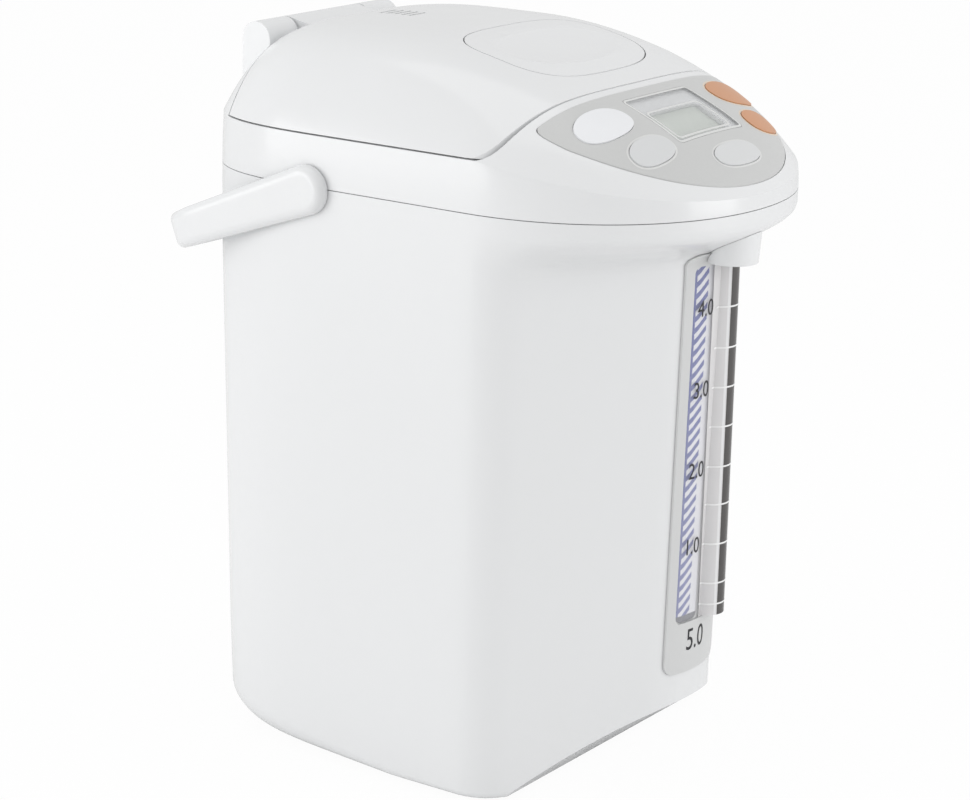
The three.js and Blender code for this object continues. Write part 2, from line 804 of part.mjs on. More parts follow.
function releasePlate() {
  const blank = releasePrism(-plateGap).intersect(upperForm(0)).subtract(under(plateThickness));
  const trunnion = crossRod(trunnionRadius, -trunnionReach, trunnionReach, trunnionY, trunnionZ, 12);
  const spread = Math.sqrt(4 / 3);
  const height = dishDepth * 2;
  const dish = new THREE.SphereGeometry(1, 20, 10).rotateX(Math.PI / 2);
  dish.scale(dishHalfWidth * spread, dishHalfDepth * spread, height).rotateX(dishTurn);
  dish.translate(0, plateCentreY, crownAt(plateCentreY) + height / 2);
  return blank.add(trunnion).subtract(solid(dish));
}

function latchBolt() {
  const low = linerHeight + linerThickness + gap;
  return block([-latchHalfWidth, -latchNose, low], [latchHalfWidth, -latchNose + latchLength, low + latchHeight]);
}

function lidLiner() {
  const floor = linerHeight + linerThickness;
  const outer = prism(seamRing(rimInset + linerInset), linerHeight, linerTop)
    .intersect(behindLine(linerSetback, linerCornerGap, linerHeight, linerTop, linerRear));
  const inner = prism(seamRing(rimInset + linerInset + linerWall), floor, linerTop + past)
    .intersect(behindLine(linerSetback + linerWall, linerCornerGap, floor, linerTop + past, linerRear - linerWall));
  const window = block([-latchHalfWidth - gap, -lidFront, floor],
    [latchHalfWidth + gap, -lidFront + linerSetback + linerWall + past, floor + latchHeight + gap + gap]);
  return outer.subtract(inner).subtract(window).intersect(under(lidWall + gap + gap))
    .subtract(post(ductRadius + gap, linerHeight - past, linerTop, 0, ductY, 24));
}

function innerLid() {
  const [low, high, wall] = [innerLidBottom, innerLidTop, innerLidWall];
  const flange = gasketRadius - gap;
  return turned([
    [0, low], [innerLidRadius, low], [innerLidRadius, high - wall], [flange, high - wall],
    [flange, high], [innerLidRadius - wall, high], [innerLidRadius - wall, low + wall], [0, low + wall],
  ], 0, vesselY).subtract(post(ductRadius - ductWall, low - past, high, 0, ductY, 24));
}

function lidGasket() {
  const high = innerLidTop - innerLidWall - gap;
  return tubeAlong(gasketRadius, innerLidRadius + gap, high - gasketThickness, high, 0, vesselY, roundSides);
}

function steamDuct() {
  const low = innerLidBottom + innerLidWall + gap;
  return tubeAlong(ductRadius, ductRadius - ductWall, low, ductTop, 0, ductY, 24);
}

// Bail: a bowed grip on two tapering arms with inward studs
function bail() {
  const innerX = halfWidth + armGap;
  const outerX = innerX + armThickness;
  const outerReach = barInner + barThickness;
  const outerBow = (x) => outerReach - (barRadius + barThickness) + Math.sqrt((barRadius + barThickness) ** 2 - x * x);
  const innerBow = (x) => barInner - barRadius + Math.sqrt(barRadius * barRadius - x * x);
  const turnX = outerX - barCorner;
  const bend = barCorner / 2;
  const innerTurn = innerX - bend;
  const steps = 16;
  const shape = new THREE.Shape();
  shape.moveTo(innerX, -armStart);
  shape.lineTo(outerX, -armStart);
  shape.lineTo(outerX, outerBow(outerX) - barCorner);
  shape.quadraticCurveTo(outerX, outerBow(outerX), turnX, outerBow(turnX));
  for (let i = 1; i <= steps; i += 1) {
    const x = turnX - (2 * turnX * i) / steps;
    shape.lineTo(x, outerBow(x));
  }
  shape.quadraticCurveTo(-outerX, outerBow(outerX), -outerX, outerBow(outerX) - barCorner);
  shape.lineTo(-outerX, -armStart);
  shape.lineTo(-innerX, -armStart);
  shape.lineTo(-innerX, innerBow(innerX) - bend);
  shape.quadraticCurveTo(-innerX, innerBow(innerX), -innerTurn, innerBow(innerTurn));
  for (let i = 1; i <= steps; i += 1) {
    const x = -innerTurn + (2 * innerTurn * i) / steps;
    shape.lineTo(x, innerBow(x));
  }
  shape.quadraticCurveTo(innerX, innerBow(innerX), innerX, innerBow(innerX) - bend);
  const half = armHeight / 2;
  const side = [];
  for (let i = 0; i <= 12; i += 1) {
    const angle = Math.PI / 2 + (i / 12) * Math.PI;
    side.push([half - armStart + half * Math.cos(angle), half * Math.sin(angle)]);
  }
  const taperEnd = innerBow(innerX);
  side.push([taperEnd, -barHeight / 2], [outerReach + past, -barHeight / 2]);
  side.push([outerReach + past, barHeight / 2], [taperEnd, barHeight / 2]);
  const place = (geometry) => solid(geometry.rotateX(-bailDrop).translate(0, pivotY, seamHeight));
  const profile = drawn(side, -outerX - past, outerX + past).rotateY(Math.PI / 2).rotateX(Math.PI / 2);
  const flangeX = halfWidth - housingWall - lipWall - gap - gap - gap;
  return place(drawn(shape, -half, half)).intersect(place(profile))
    .add(pivotBores(studRadius, flangeX - studFlange / 2, innerX + armThickness / 2))
    .add(pivotBores(studFlangeRadius, flangeX - studFlange, flangeX));
}

// Panel pieces
function panelPlate() {
  let plate = lensPrism(0).intersect(upperForm(-lensProud)).subtract(under(lensThickness - lensProud));
  for (const button of Object.values(buttons)) plate = plate.subtract(buttonPrism(button, buttonGap));
  return plate.subtract(panelPrism(roundedBox(windowBox, windowCorner, gap), -buttonDepth, past + past));
}

function displayWindow() {
  return panelPrism(roundedBox(windowBox, windowCorner), -buttonDepth, past + past)
    .intersect(upperForm(-windowProud)).subtract(under(lensThickness - windowProud));
}

function panelButton(button) {
  const [u, v, , , shift] = button;
  const cap = buttonPrism(button, 0).intersect(upperForm(-buttonProud));
  const flange = buttonPrism(button, buttonFlange).intersect(upperForm(housingWall + gap + gap));
  const foot = boardTop + gap + switchHeight + buttonTravel + gap;
  return cap.add(flange).subtract(under(buttonDepth))
    .add(panelPrism(oval(u + shift, v, postRadius, postRadius, 2, 12), foot, postTop));
}

function panelSwitch([u, v, , , shift]) {
  const half = switchSize / 2;
  const low = boardTop + gap;
  return panelPrism(roundedBox([u + shift - half, v - half, u + shift + half, v + half], gap), low, low + switchHeight);
}

function controlBoard() {
  return panelPrism([
    [-boardHalfWidth, boardRear], [-boardHalfWidth, boardFront], [boardTabLeft, boardFront],
    [boardTabLeft, boardTabFront], [boardTabRight, boardTabFront], [boardTabRight, boardFront],
    [boardHalfWidth, boardFront], [boardHalfWidth, boardRear],
  ], boardTop - boardThickness, boardTop);
}

function lcdModule() {
  return panelPrism(roundedBox(screenBox, windowCorner), screenTop - screenDepth, screenTop);
}

// Gauge pieces
function gaugePlate() {
  return bodyForm(-gap - gaugeThickness).subtract(bodyForm(-gap))
    .intersect(frontPrism(roundedBox(gaugeFrame, gaugeCorner), frontEnd, 0))
    .subtract(frontPrism(roundedBox(gaugeWindow, gaugeWindowCorner, gap), frontEnd, 0));
}

function gaugeStrip() {
  return bodyForm(0).subtract(bodyForm(stripThickness))
    .intersect(frontPrism(roundedBox(gaugeBand, gaugeWindowCorner), frontEnd, 0));
}

function gaugeCover() {
  const [low, high] = [gaugeWindowBottom + coverEndGap, gaugeWindowTop - coverEndGap];
  return bodyForm(-gap - gaugeThickness)
    .intersect(frontPrism(roundedBox(gaugeWindow, gaugeWindowCorner), frontEnd, 0))
    .add(post(coverRadius, low, high, tubeX, coverCentreY, 32))
    .subtract(bodyForm(-gap))
    .subtract(post(coverRadius - coverWall, low + coverWall, high - coverWall, tubeX, coverCentreY, 32));
}

function gaugeTube() {
  return tubeAlong(tubeRadius, tubeRadius - tubeWall, tubeBottom, tubeTop, tubeX, tubeY, 20);
}

// Nozzle pieces
function nozzleSkirt() {
  const [low, high] = [nozzleBottom, seamHeight - seamGap];
  const plateRoom = bodyForm(-gap - gaugeThickness - gap)
    .intersect(frontPrism(roundedBox(gaugeFrame, gaugeCorner, gap), frontEnd, 0));
  return turned([
    [nozzleRadius - nozzleWall, low], [nozzleRadius, low], [nozzleRootRadius, high],
    [nozzleRootRadius - nozzleWall, high], [nozzleRadius - nozzleWall, low],
  ], 0, nozzleY, 28).subtract(bodyForm(-gap)).subtract(plateRoom);
}

function nozzleTube() {
  return tubeAlong(spoutRadius, spoutRadius - spoutWall, spoutBottom, spoutTop, 0, nozzleY);
}

function goosePipe() {
  const rise = spoutTop + gooseRadius / 2;
  const low = tubeTop + gap;
  const bend = (k) => (k / 3) * (Math.PI / 2);
  const up = [0, 1, 2, 3].map((k) => [
    0, tubeY - gooseBend * (1 - Math.cos(bend(k))), rise + gooseBend * Math.sin(bend(k)),
  ]);
  const down = [0, 1, 2, 3].map((k) => [
    0, nozzleY + gooseBend * (1 - Math.sin(bend(k))), rise + gooseBend * Math.cos(bend(k)),
  ]);
  return pipe([
    [tubeX, tubeY, low], [tubeX, tubeY, low + gooseRadius],
    [tubeX / 2, tubeY, (low + rise) / 2], ...up, ...down, [0, nozzleY, spoutTop + gap],
  ], gooseRadius, gooseRadius - pipeWall, 18);
}

// Water circuit
function vessel() {
  const [outer, inner, low, corner] = [vesselRadius, vesselRadius - vesselWall, vesselBottom, vesselCorner];
  const top = flangeHeight + flangeThickness;
  const bend = (radius) => [1, 2].map((k) => {
    const angle = (k / 3) * (Math.PI / 2);
    return [outer - corner + radius * Math.sin(angle), low + corner - radius * Math.cos(angle)];
  });
  return turned([
    [0, low], [outer - corner, low], ...bend(corner), [outer, low + corner],
    [outer, flangeHeight], [flangeRadius, flangeHeight], [flangeRadius, top], [inner, top],
    [inner, low + corner], ...bend(corner - vesselWall).reverse(),
    [outer - corner, low + vesselWall], [0, low + vesselWall],
  ], 0, vesselY, 36).subtract(post(pipeRadius + gap, low - past, low + past, pumpX, pumpY));
}

function rimSeal() {
  const low = flangeHeight + flangeThickness + gap;
  return tubeAlong(flangeRadius - gap, vesselRadius - gap, low, deckHeight - gap, 0, vesselY, roundSides);
}

function sleeve() {
  const inner = vesselRadius + sleeveGap;
  return tubeAlong(inner + sleeveWall, inner, sleeveBottom, sleeveTop, 0, vesselY, roundSides);
}

function heater() {
  const high = vesselBottom - gap;
  return post(heaterRadius, high - heaterThickness, high, 0, vesselY, roundSides);
}

function thermostat() {
  const high = vesselBottom - gap - heaterThickness - gap;
  return post(thermostatRadius, high - thermostatHeight, high, thermostatX, thermostatY, 24);
}

function inletPipe() {
  return tubeAlong(pipeRadius, pipeRadius - pipeWall, pumpTop - pumpWall, inletTop, pumpX, pumpY);
}

function strainer() {
  const low = vesselBottom + vesselWall + gap;
  const inner = strainerRadius - strainerWall;
  let cap = turned([
    [inner, low], [strainerRadius, low], [strainerRadius, strainerTop], [0, strainerTop],
    [0, strainerTop - strainerWall], [inner, strainerTop - strainerWall], [inner, low],
  ], pumpX, pumpY, 24);
  for (let i = 0; i < strainerSlots / 2; i += 1) {
    const cut = new THREE.BoxGeometry(strainerSlotWidth, strainerRadius * 3, inletTop - low - strainerSlotWidth);
    cut.rotateZ((i / strainerSlots) * 2 * Math.PI);
    cap = cap.subtract(solid(cut.translate(pumpX, pumpY, (low + inletTop) / 2)));
  }
  return cap;
}

function pumpHousing() {
  const low = pumpFloor + pumpCoverThickness + gap;
  const inner = pumpRadius - pumpWall;
  const outlet = deepRod(pipeRadius + gap, pumpY - pumpRadius - past, pumpY - inner + past, pumpX, outletZ);
  return turned([
    [inner, low], [pumpRadius, low], [pumpRadius, pumpTop], [pipeRadius + gap, pumpTop],
    [pipeRadius + gap, pumpTop - pumpWall], [inner, pumpTop - pumpWall], [inner, low],
  ], pumpX, pumpY, 28).subtract(outlet);
}

function pumpCover() {
  return post(pumpRadius, pumpFloor, pumpFloor + pumpCoverThickness, pumpX, pumpY, 28);
}

function impeller() {
  const low = pumpFloor + pumpCoverThickness + gap + gap;
  const high = low + bladeThickness;
  let wheel = post(impellerRadius, low, high, pumpX, pumpY, 24)
    .add(post(impellerHub, low, high + bladeHeight, pumpX, pumpY));
  for (let i = 0; i < bladeCount; i += 1) {
    const blade = new THREE.BoxGeometry(impellerRadius - impellerHub / 2, bladeThickness, bladeHeight);
    blade.translate((impellerRadius + impellerHub / 2) / 2, impellerHub / 2, high + bladeHeight / 2);
    wheel = wheel.add(solid(blade.rotateZ((i / bladeCount) * 2 * Math.PI).translate(pumpX, pumpY, 0)));
  }
  return wheel.intersect(post(impellerRadius, low, high + bladeHeight, pumpX, pumpY, 24));
}

function pumpMotor() {
  return post(motorRadius, motorBottom, pumpFloor - gap, pumpX, pumpY, 24);
}

function outletPipe() {
  const start = pumpY - pumpRadius + pumpWall;
  const low = tubeBottom - gap;
  return pipe([
    [pumpX, start, outletZ],
    [pumpX, start - pipeRadius, outletZ],
    [pumpX, start - pipeRadius * 3, outletZ + pipeRadius / 2],
    [(pumpX + tubeX) / 2, (start + tubeY) / 2 - pipeRadius, outletZ + pipeRadius * 4],
    [tubeX, tubeY + pipeRadius / 3, low - pipeRadius * 2],
    [tubeX, tubeY, low - pipeRadius],
    [tubeX, tubeY, low],
  ], pipeRadius, pipeRadius - pipeWall, 14);
}

// Electrical pieces
function powerBoard() {
  return block([-powerHalfWidth, boardY, powerBottom], [powerHalfWidth, boardY + boardThickness, powerTop]);
}

function relay() {
  const near = boardY + boardThickness + gap;
  const low = (powerBottom + powerTop - relayHeight) / 2;
  return block([-relayHalfWidth, near, low], [relayHalfWidth, near + relayDepth, low + relayHeight]);
}

function inletPin(side, grow = 0) {
  const z = (inletLow + inletHigh) / 2;
  return deepRod(inletPinRadius + grow, inletPinFront, inletPinRear, side * inletPinX, z);
}

function inletSocket() {
  const outer = frontPrism(roundedBox(inletFrame, inletWall), inletFront, rearReach + past).intersect(bodyForm(0));
  const cavity = roundedBox(inletFrame, inletWall, -inletWall / 2 - gap);
  return outer.subtract(frontPrism(cavity, inletFront + inletWall, rearReach + past))
    .subtract(inletPin(-1, gap)).subtract(inletPin(1, gap));
}

// Base pieces
function bottomCover() {
  const ring = edgeRing(housingWall + gap + gap, 0);
  const panRadius = baseRadius + panGap;
  const outerRadius = panRadius + panWall;
  const [low, high] = [panFloor, panFloor + panThickness];
  return loft([ring, ring.map(([x, y]) => [x, y, bodyBottom + bottomThickness])])
    .intersect(block([-halfWidth, -toeStart + housingWall - gap - gap, 0], [halfWidth, rearReach, high]))
    .subtract(post(panRadius, -past, high, 0, 0, 36))
    .add(turned([
      [hubRadius + gap, low], [panRadius, low], [panRadius, bodyBottom], [outerRadius, bodyBottom],
      [outerRadius, high], [hubRadius + gap, high], [hubRadius + gap, low],
    ], 0, 0, 36));
}

function swivelBase() {
  const low = padThickness + gap;
  return turned([
    [0, low], [baseRadius - baseEdge, low], [baseRadius, low + baseEdge], [baseRadius, baseTop - baseEdge],
    [baseRadius - baseEdge, baseTop], [hubRadius, baseTop], [hubRadius, hubTop], [0, hubTop],
  ], 0, 0, 36);
}

function swivelWasher() {
  const low = panFloor + panThickness + gap;
  return tubeAlong(washerRadius, hubRadius + gap, low, low + washerThickness, 0, 0, 24);
}

// All the pieces, each a named mesh
const pot = new THREE.Group();
pot.name = 'thermo_pot';

function add(name, look, body) {
  const mesh = new THREE.Mesh(geometryOf(body), new THREE.MeshStandardMaterial(looks[look]));
  mesh.name = name;
  pot.add(mesh);
}

add('anti_slip_pad', 'rubber', post(padRadius, 0, padThickness, 0, 0, 36));
add('swivel_base', 'softWhite', swivelBase());
add('swivel_washer', 'steel', swivelWasher());
add('bottom_cover', 'softWhite', bottomCover());
add('body_shell', 'white', bodyShell());
add('shoulder', 'white', shoulder());
add('vessel', 'steel', vessel());
add('insulation_sleeve', 'foam', sleeve());
add('rim_seal', 'silicone', rimSeal());
add('heater_plate', 'steel', heater());
add('thermostat', 'dark', thermostat());
add('inlet_strainer', 'steel', strainer());
add('inlet_pipe', 'silicone', inletPipe());
add('pump_housing', 'softWhite', pumpHousing());
add('pump_cover', 'softWhite', pumpCover());
add('impeller', 'softWhite', impeller());
add('pump_motor', 'dark', pumpMotor());
add('outlet_pipe', 'silicone', outletPipe());
add('gauge_tube', 'clear', gaugeTube());
add('goose_pipe', 'silicone', goosePipe());
add('nozzle_tube', 'softWhite', nozzleTube());
add('nozzle_skirt', 'white', nozzleSkirt());
add('gauge_plate', 'silver', gaugePlate());
add('gauge_strip', 'softWhite', gaugeStrip());
add('gauge_cover', 'clear', gaugeCover());
add('power_board', 'board', powerBoard());
add('relay_block', 'dark', relay());
add('inlet_socket', 'dark', inletSocket());
add('inlet_pin_left', 'brass', inletPin(-1));
add('inlet_pin_right', 'brass', inletPin(1));
add('control_board', 'board', controlBoard());
add('panel_plate', 'silver', panelPlate());
add('display_window', 'clear', displayWindow());
add('lcd_module', 'screen', lcdModule());
for (const [name, button] of Object.entries(buttons)) {
  const orange = name === 'dispense' || name === 'unlock';
  add(`button_${name}`, orange ? 'orange' : 'button', panelButton(button));
  add(`switch_${name}`, 'dark', panelSwitch(button));
}
add('hinge_cover_left', 'white', hingeCover(-1));
add('hinge_cover_right', 'white', hingeCover(1));
add('hinge_pin', 'steel', crossRod(pinRadius, -pinReach, pinReach, hingeY, hingeZ));
add('lid_shell', 'white', lidShell());
add('lid_liner', 'softWhite', lidLiner());
add('inner_lid', 'steel', innerLid());
add('lid_gasket', 'silicone', lidGasket());
add('steam_duct', 'softWhite', steamDuct());
add('release_plate', 'white', releasePlate());
add('latch_bolt', 'softWhite', latchBolt());
add('bail', 'white', bail());

export default pot;
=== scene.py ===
import json
import math
import bpy
import bmesh
from mathutils import Matrix, Vector


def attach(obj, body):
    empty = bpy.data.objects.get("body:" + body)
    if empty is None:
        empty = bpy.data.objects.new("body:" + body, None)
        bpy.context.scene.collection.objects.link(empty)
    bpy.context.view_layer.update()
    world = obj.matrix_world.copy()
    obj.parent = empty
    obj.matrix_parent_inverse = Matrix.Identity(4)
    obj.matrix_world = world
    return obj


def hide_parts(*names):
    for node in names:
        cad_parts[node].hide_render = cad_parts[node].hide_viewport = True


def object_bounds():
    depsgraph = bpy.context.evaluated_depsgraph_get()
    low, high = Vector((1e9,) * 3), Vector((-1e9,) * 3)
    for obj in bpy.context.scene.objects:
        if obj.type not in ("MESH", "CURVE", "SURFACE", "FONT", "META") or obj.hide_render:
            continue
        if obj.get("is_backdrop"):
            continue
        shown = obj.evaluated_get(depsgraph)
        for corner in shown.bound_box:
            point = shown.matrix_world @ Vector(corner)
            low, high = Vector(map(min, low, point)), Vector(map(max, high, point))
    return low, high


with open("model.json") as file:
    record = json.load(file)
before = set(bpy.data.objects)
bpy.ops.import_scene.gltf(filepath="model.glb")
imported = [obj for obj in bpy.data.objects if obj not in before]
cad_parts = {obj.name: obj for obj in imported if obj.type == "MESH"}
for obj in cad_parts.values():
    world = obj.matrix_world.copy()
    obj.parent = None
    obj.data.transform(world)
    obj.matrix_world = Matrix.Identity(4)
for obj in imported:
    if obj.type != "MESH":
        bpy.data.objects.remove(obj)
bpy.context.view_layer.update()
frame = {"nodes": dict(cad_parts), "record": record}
MM = 0.001

# Housing, in millimetres, as in the solids
HALF_WIDTH, BEAK_REACH, BEAK_START = 103.0, 155.0, 56.0
REAR_REACH, REAR_START, REAR_LEAN, NOSE_LEAN = 120.0, 20.0, 8.0, 3.5
NOSE_RADIUS, CORNER_RADIUS, FLANK_REACH = 55.0, 28.0, 117.7
FLANK_TURN = math.radians(33.5)
SEAM, SEAM_GAP, BEAK_ROOT = 287.0, 0.4, 250.0
BODY_BOTTOM, FRONT_EDGE, REAR_EDGE, EDGE_START, EDGE_END = 2.2, 4.0, 20.0, -20.0, 85.0
WALL, PLAN_MIDDLE = 3.0, -18.0
TOE_START, TOE_RISE, TOE_SETTLE, TOE_LENGTH = 76.0, 1.075, 0.00585, 62.0
RIM, RIM_DROP, RIM_INSET, CROWN, BRINK = 312.0, 18.0, 0.6, 355.9, 345.0
NOSE_DROP, CROWN_START, SIDE_BULGE = 34.0, 10.0, 0.15
LID_FRONT, LID_CORNER_SET, LID_CORNER_ROUND, LID_REAR = 81.0, 14.0, 7.0, 91.5
LID_GAP, LID_CORNER_GAP, LID_WALL, LID_FRONT_WALL, LID_FRONT_DEPTH = 0.8, 2.4, 2.6, 2.4, 9.0
DECK, DECK_THICK, DECK_HOLE, VESSEL_Y = 295.0, 3.0, 82.7, 9.5
PLATE_Y, PLATE_X, PLATE_DEEP, PLATE_THICK, PLATE_GAP = -36.0, 52.0, 32.0, 5.0, 0.6
POCKET, POCKET_WALL = 9.5, 2.4
DISH = (44.0, 25.0, 2.2, math.radians(14))
TRUNNION_Y, TRUNNION_DEPTH, TRUNNION_R, TRUNNION_X = -10.0, 4.4, 1.5, 42.4
LATCH_X, LINER, LINER_THICK, LATCH_HIGH = 10.0, 304.5, 2.5, 5.0
HINGE_Y, HINGE_Z, BARREL, BARREL_X, COVER_X = 105.0, 343.5, 8.5, 29.0, 53.0
PIN_R, TONGUE_DEPTH, TONGUE_BACK = 2.0, 10.0, 5.0
PIVOT_Y, STUD = 30.0, 6.5
PANEL_TILT, PANEL_Y, PANEL_Z = math.radians(27), -108.0, 320.0
LENS_X, LENS_DEEP, LENS_SET, LENS_THICK, LENS_PROUD, LENS_TIP = 88.0, 94.5, 4.3, 1.2, 0.2, 5.0
BUTTON_PROUD, BUTTON_DEPTH, BUTTON_GAP, BUTTON_HOLE = 0.7, 5.2, 0.2, 12.0
WINDOW = (-28.5, -16.1, 28.5, 20.5)
SCREEN = (-25.0, -12.6, 19.0, 7.1)
BUTTONS = {
    "reboil": (-55.5, 10.4, 17.6, 10.0),
    "timer": (-47.5, -13.4, 13.6, 8.0),
    "temp_set": (1.5, -30.8, 18.2, 6.8),
    "dispense": (57.0, 10.2, 18.0, 10.0),
    "unlock": (50.5, -13.2, 13.8, 8.2),
}
GAUGE = (-22.3, 54.0, 22.3, 264.0)
GAUGE_WINDOW = (-17.0, 80.0, 20.0, 257.0)
STRIP = (-15.5, 80.0, -1.0, 257.0)
GAUGE_THICK, STRIP_THICK = 1.0, 0.8
TUBE_X, TUBE_Y, SLOT_X = 9.5, -117.0, 7.2
COVER_R, COVER_WALL, COVER_Y, COVER_END = 9.0, 1.3, -126.8, 1.0
NOZZLE_Y, NOZZLE_R, NOZZLE_ROOT, NOZZLE_WALL, NOZZLE_LOW, SPOUT = -138.0, 12.5, 14.5, 2.0, 259.0, 5.0
INLET = (-17.0, 37.0, 17.0, 63.0)
INLET_FRONT = 100.0
ARM_GAP, ARM_THICK, ARM_START, ARM_HEIGHT, BAIL_DROP = 0.6, 5.8, 8.5, 24.0, math.radians(21.3)
BAR_HEIGHT, BAR_INNER, BAR_THICK, BAR_RADIUS, BAR_CORNER = 18.0, 108.6, 7.0, 260.0, 18.0
BAIL_ROUND = 4.2
COVER_GAP, PIN_REACH, FLANGE_X, FLANGE_R = 1.0, 35.0, 97.1, 7.6
GAP, PAST = 0.3, 6.0
BEAK_SHARE, REAR_SHARE, CROWN_SHARE, CORNER_SHARE, ROUND_SHARE = 2.1, 3.3, 5.5, 5.0, 40.0
PLATE_SHARE, BUTTON_SHARE = 3.0, 2.3
PRINT, RING, KEY_FLANGE, KEY_BEVEL, PANE_PROUD = (0.15, 0.23), (0.35, 1.25), 1.4, 0.5, 0.15
WINDOW_ROUND, SCREEN_ROUND, WINDOW_RIM, SCREEN_RIM = 3.0, 2.0, -1.3, 1.1
LIP_DEPTH, LIP_THICK, LIP_FRONT = 6.0, 2.0, -50.0
VENTS, VENT_Y, VENT_PITCH, VENT_X, VENT_HALF, VENT_FLOOR = 5, 55.0, 4.4, 7.0, 0.9, 346.0
SLOT_END, BOX_ROUND, PLATE_ROUND, LINE_ROUND = 3.0, 3.0, 6.0, 1.0
TROUGH_MORE, TROUGH_WALL, BORE_MORE, TONGUE_LESS = 1.0, 1.2, 1.0, 1.0
SKIRT_BEVEL, COVER_BEVEL = 0.7, 0.8
FLARE_FROM, FLARE_TO = 0.25, 0.8
BULGE_POWER = math.log(SIDE_BULGE / RIM_INSET) / math.log(0.5)

# Water scale
SCALE_NUMBERS = (("4.0", -14.6, 232.9), ("3.0", -14.6, 193.0), ("2.0", -14.6, 153.0), ("1.0", -14.6, 114.7))
NUMBER_HEIGHT, FULL_NUMBER, FULL_HEIGHT = 8.0, ("5.0", -9.5, 65.0), 11.0
LINE_LEFT, LINE_PROUD, LINE_THICK = -0.6, 0.12, 0.8
FIGURE_SHARE, FIGURE_THICK, FIGURE_PROUD, FIGURE_STRETCH = 0.7, 0.05, 0.06, 0.8
STRIPE_SLOPE, STRIPE_PITCH, STRIPE_SHARE, STRIPE_LEFT, STRIPE_RIGHT = -0.75, 5.6, 0.5, -14.2, -6.0
STRIPE_FOOT, STRIPE_DARK = 0.8, 3.2
LINE_HEIGHTS = (86.3, 97.0, 117.0, 137.0, 156.0, 176.0, 195.5, 215.0, 235.0)
TROUGH_FRONT, TROUGH_REAR = -125.5, -109.0
# Painted light on the gauge cover: the camera's turn, where the pale painted-light layer, the painted
# highlight line and the painted near-black reflection band begin across the cover, then the film's opacity
# and the extra opacity of these painted marks
COVER_TURN, PAINTED_LIGHT_FROM, PAINTED_HIGHLIGHT_AT, PAINTED_HIGHLIGHT_HALF, PAINTED_REFLECTION_FROM = math.radians(-55.6), -4.0, 3.9, 0.55, 4.9
COVER_FILM, COVER_PAINTED_LIGHT, COVER_PAINTED_MARKS = 0.12, 0.7, 0.12
FLOOR_WHITE, SKY, FLOOR_SIZE = 0.96, 0.73, 14

# Fineness of the smooth pieces
BEAK_STEPS, REAR_STEPS, DENSE, CROWN_RINGS, FLARE_RINGS, SIDE_RINGS = 44, 34, 160, 26, 16, 6
EDGE_RINGS, WALL_RINGS, SIDE_STEPS, TOE_STEPS, LID_STEPS, LENS_STEPS = 12, 8, 10, 24, 80, 90
CROWN_RUN, CROWN_CROWD, FINE, DECK_FINE = 0.96, 1.5, 96, 128
PIVOT_STEPS, ARM_STEPS, BEND_STEPS, BAR_STEPS, SECTION_STEPS, HALVINGS = 24, 16, 24, 20, 32, 40


# Solids from outlines, rings and turned profiles
def solid(points, faces, name="tool"):
    mesh = bpy.data.meshes.new(name)
    mesh.from_pydata([Vector(p) * MM for p in points], [], faces)
    work = bmesh.new()
    work.from_mesh(mesh)
    bmesh.ops.remove_doubles(work, verts=work.verts, dist=1e-7)
    bmesh.ops.recalc_face_normals(work, faces=work.faces)
    work.to_mesh(mesh)
    work.free()
    obj = bpy.data.objects.new(name, mesh)
    bpy.context.collection.objects.link(obj)
    return obj


def loft(rings):
    count = len(rings[0])
    points = [p for ring in rings for p in ring]
    faces = []
    for level in range(len(rings) - 1):
        low = level * count
        for i in range(count):
            a, b = low + i, low + (i + 1) % count
            faces.append((a, b, b + count, a + count))
    for level in (0, len(rings) - 1):
        low = level * count
        for i in range(count // 2):
            quad = [low + k % count for k in (i, i + 1, count - i - 1, count - i)]
            faces.append(tuple(dict.fromkeys(quad)))
    return solid(points, faces)


def drawn(outline, low, high, place):
    count = len(outline)
    points = [place(p[0], p[1], w) for w in (low, high) for p in outline]
    faces = [(i, (i + 1) % count, (i + 1) % count + count, i + count) for i in range(count)]
    faces += [tuple(range(count)), tuple(range(count, 2 * count))]
    return solid(points, faces)


def prism(outline, low, high):
    return drawn(outline, low, high, lambda u, v, w: (u, v, w))


def front_prism(outline, front, rear):
    return drawn(outline, front, rear, lambda u, v, w: (u, w, v))


def side_prism(outline, left, right):
    return drawn(outline, left, right, lambda u, v, w: (w, u, v))


def panel_point(u, v, w):
    return (
        u,
        PANEL_Y + v * math.cos(PANEL_TILT) - w * math.sin(PANEL_TILT),
        PANEL_Z + v * math.sin(PANEL_TILT) + w * math.cos(PANEL_TILT),
    )


def panel_prism(outline, low, high):
    return drawn(outline, low, high, panel_point)


def block(low, high):
    outline = [(low[0], low[1]), (high[0], low[1]), (high[0], high[1]), (low[0], high[1])]
    return prism(outline, low[2], high[2])


def circle(x, y, radius, count=64):
    turns = [2 * math.pi * i / count for i in range(count)]
    return [(x + radius * math.cos(t), y + radius * math.sin(t)) for t in turns]


def post(radius, low, high, x=0.0, y=0.0, count=64):
    return prism(circle(x, y, radius, count), low, high)


def rod_x(radius, left, right, y, z, count=64):
    return side_prism(circle(y, z, radius, count), left, right)


def oval(x, y, wide, deep, share, count=FINE):
    outline = []
    for i in range(count):
        turn = 2 * math.pi * i / count
        c, s = math.cos(turn), math.sin(turn)
        across = math.copysign(abs(c) ** (2 / share), c)
        along = math.copysign(abs(s) ** (2 / share), s)
        outline.append((x + wide * across, y + deep * along))
    return outline


def rounded(box, radius, grow=0.0, steps=8):
    left, low, right, high = box[0] - grow, box[1] - grow, box[2] + grow, box[3] + grow
    r = radius + grow
    outline = []
    corners = ((right - r, low + r), (right - r, high - r), (left + r, high - r), (left + r, low + r))
    for (x, y), start in zip(corners, (-90, 0, 90, 180)):
        for i in range(steps + 1):
            turn = math.radians(start + 90 * i / steps)
            outline.append((x + r * math.cos(turn), y + r * math.sin(turn)))
    return outline


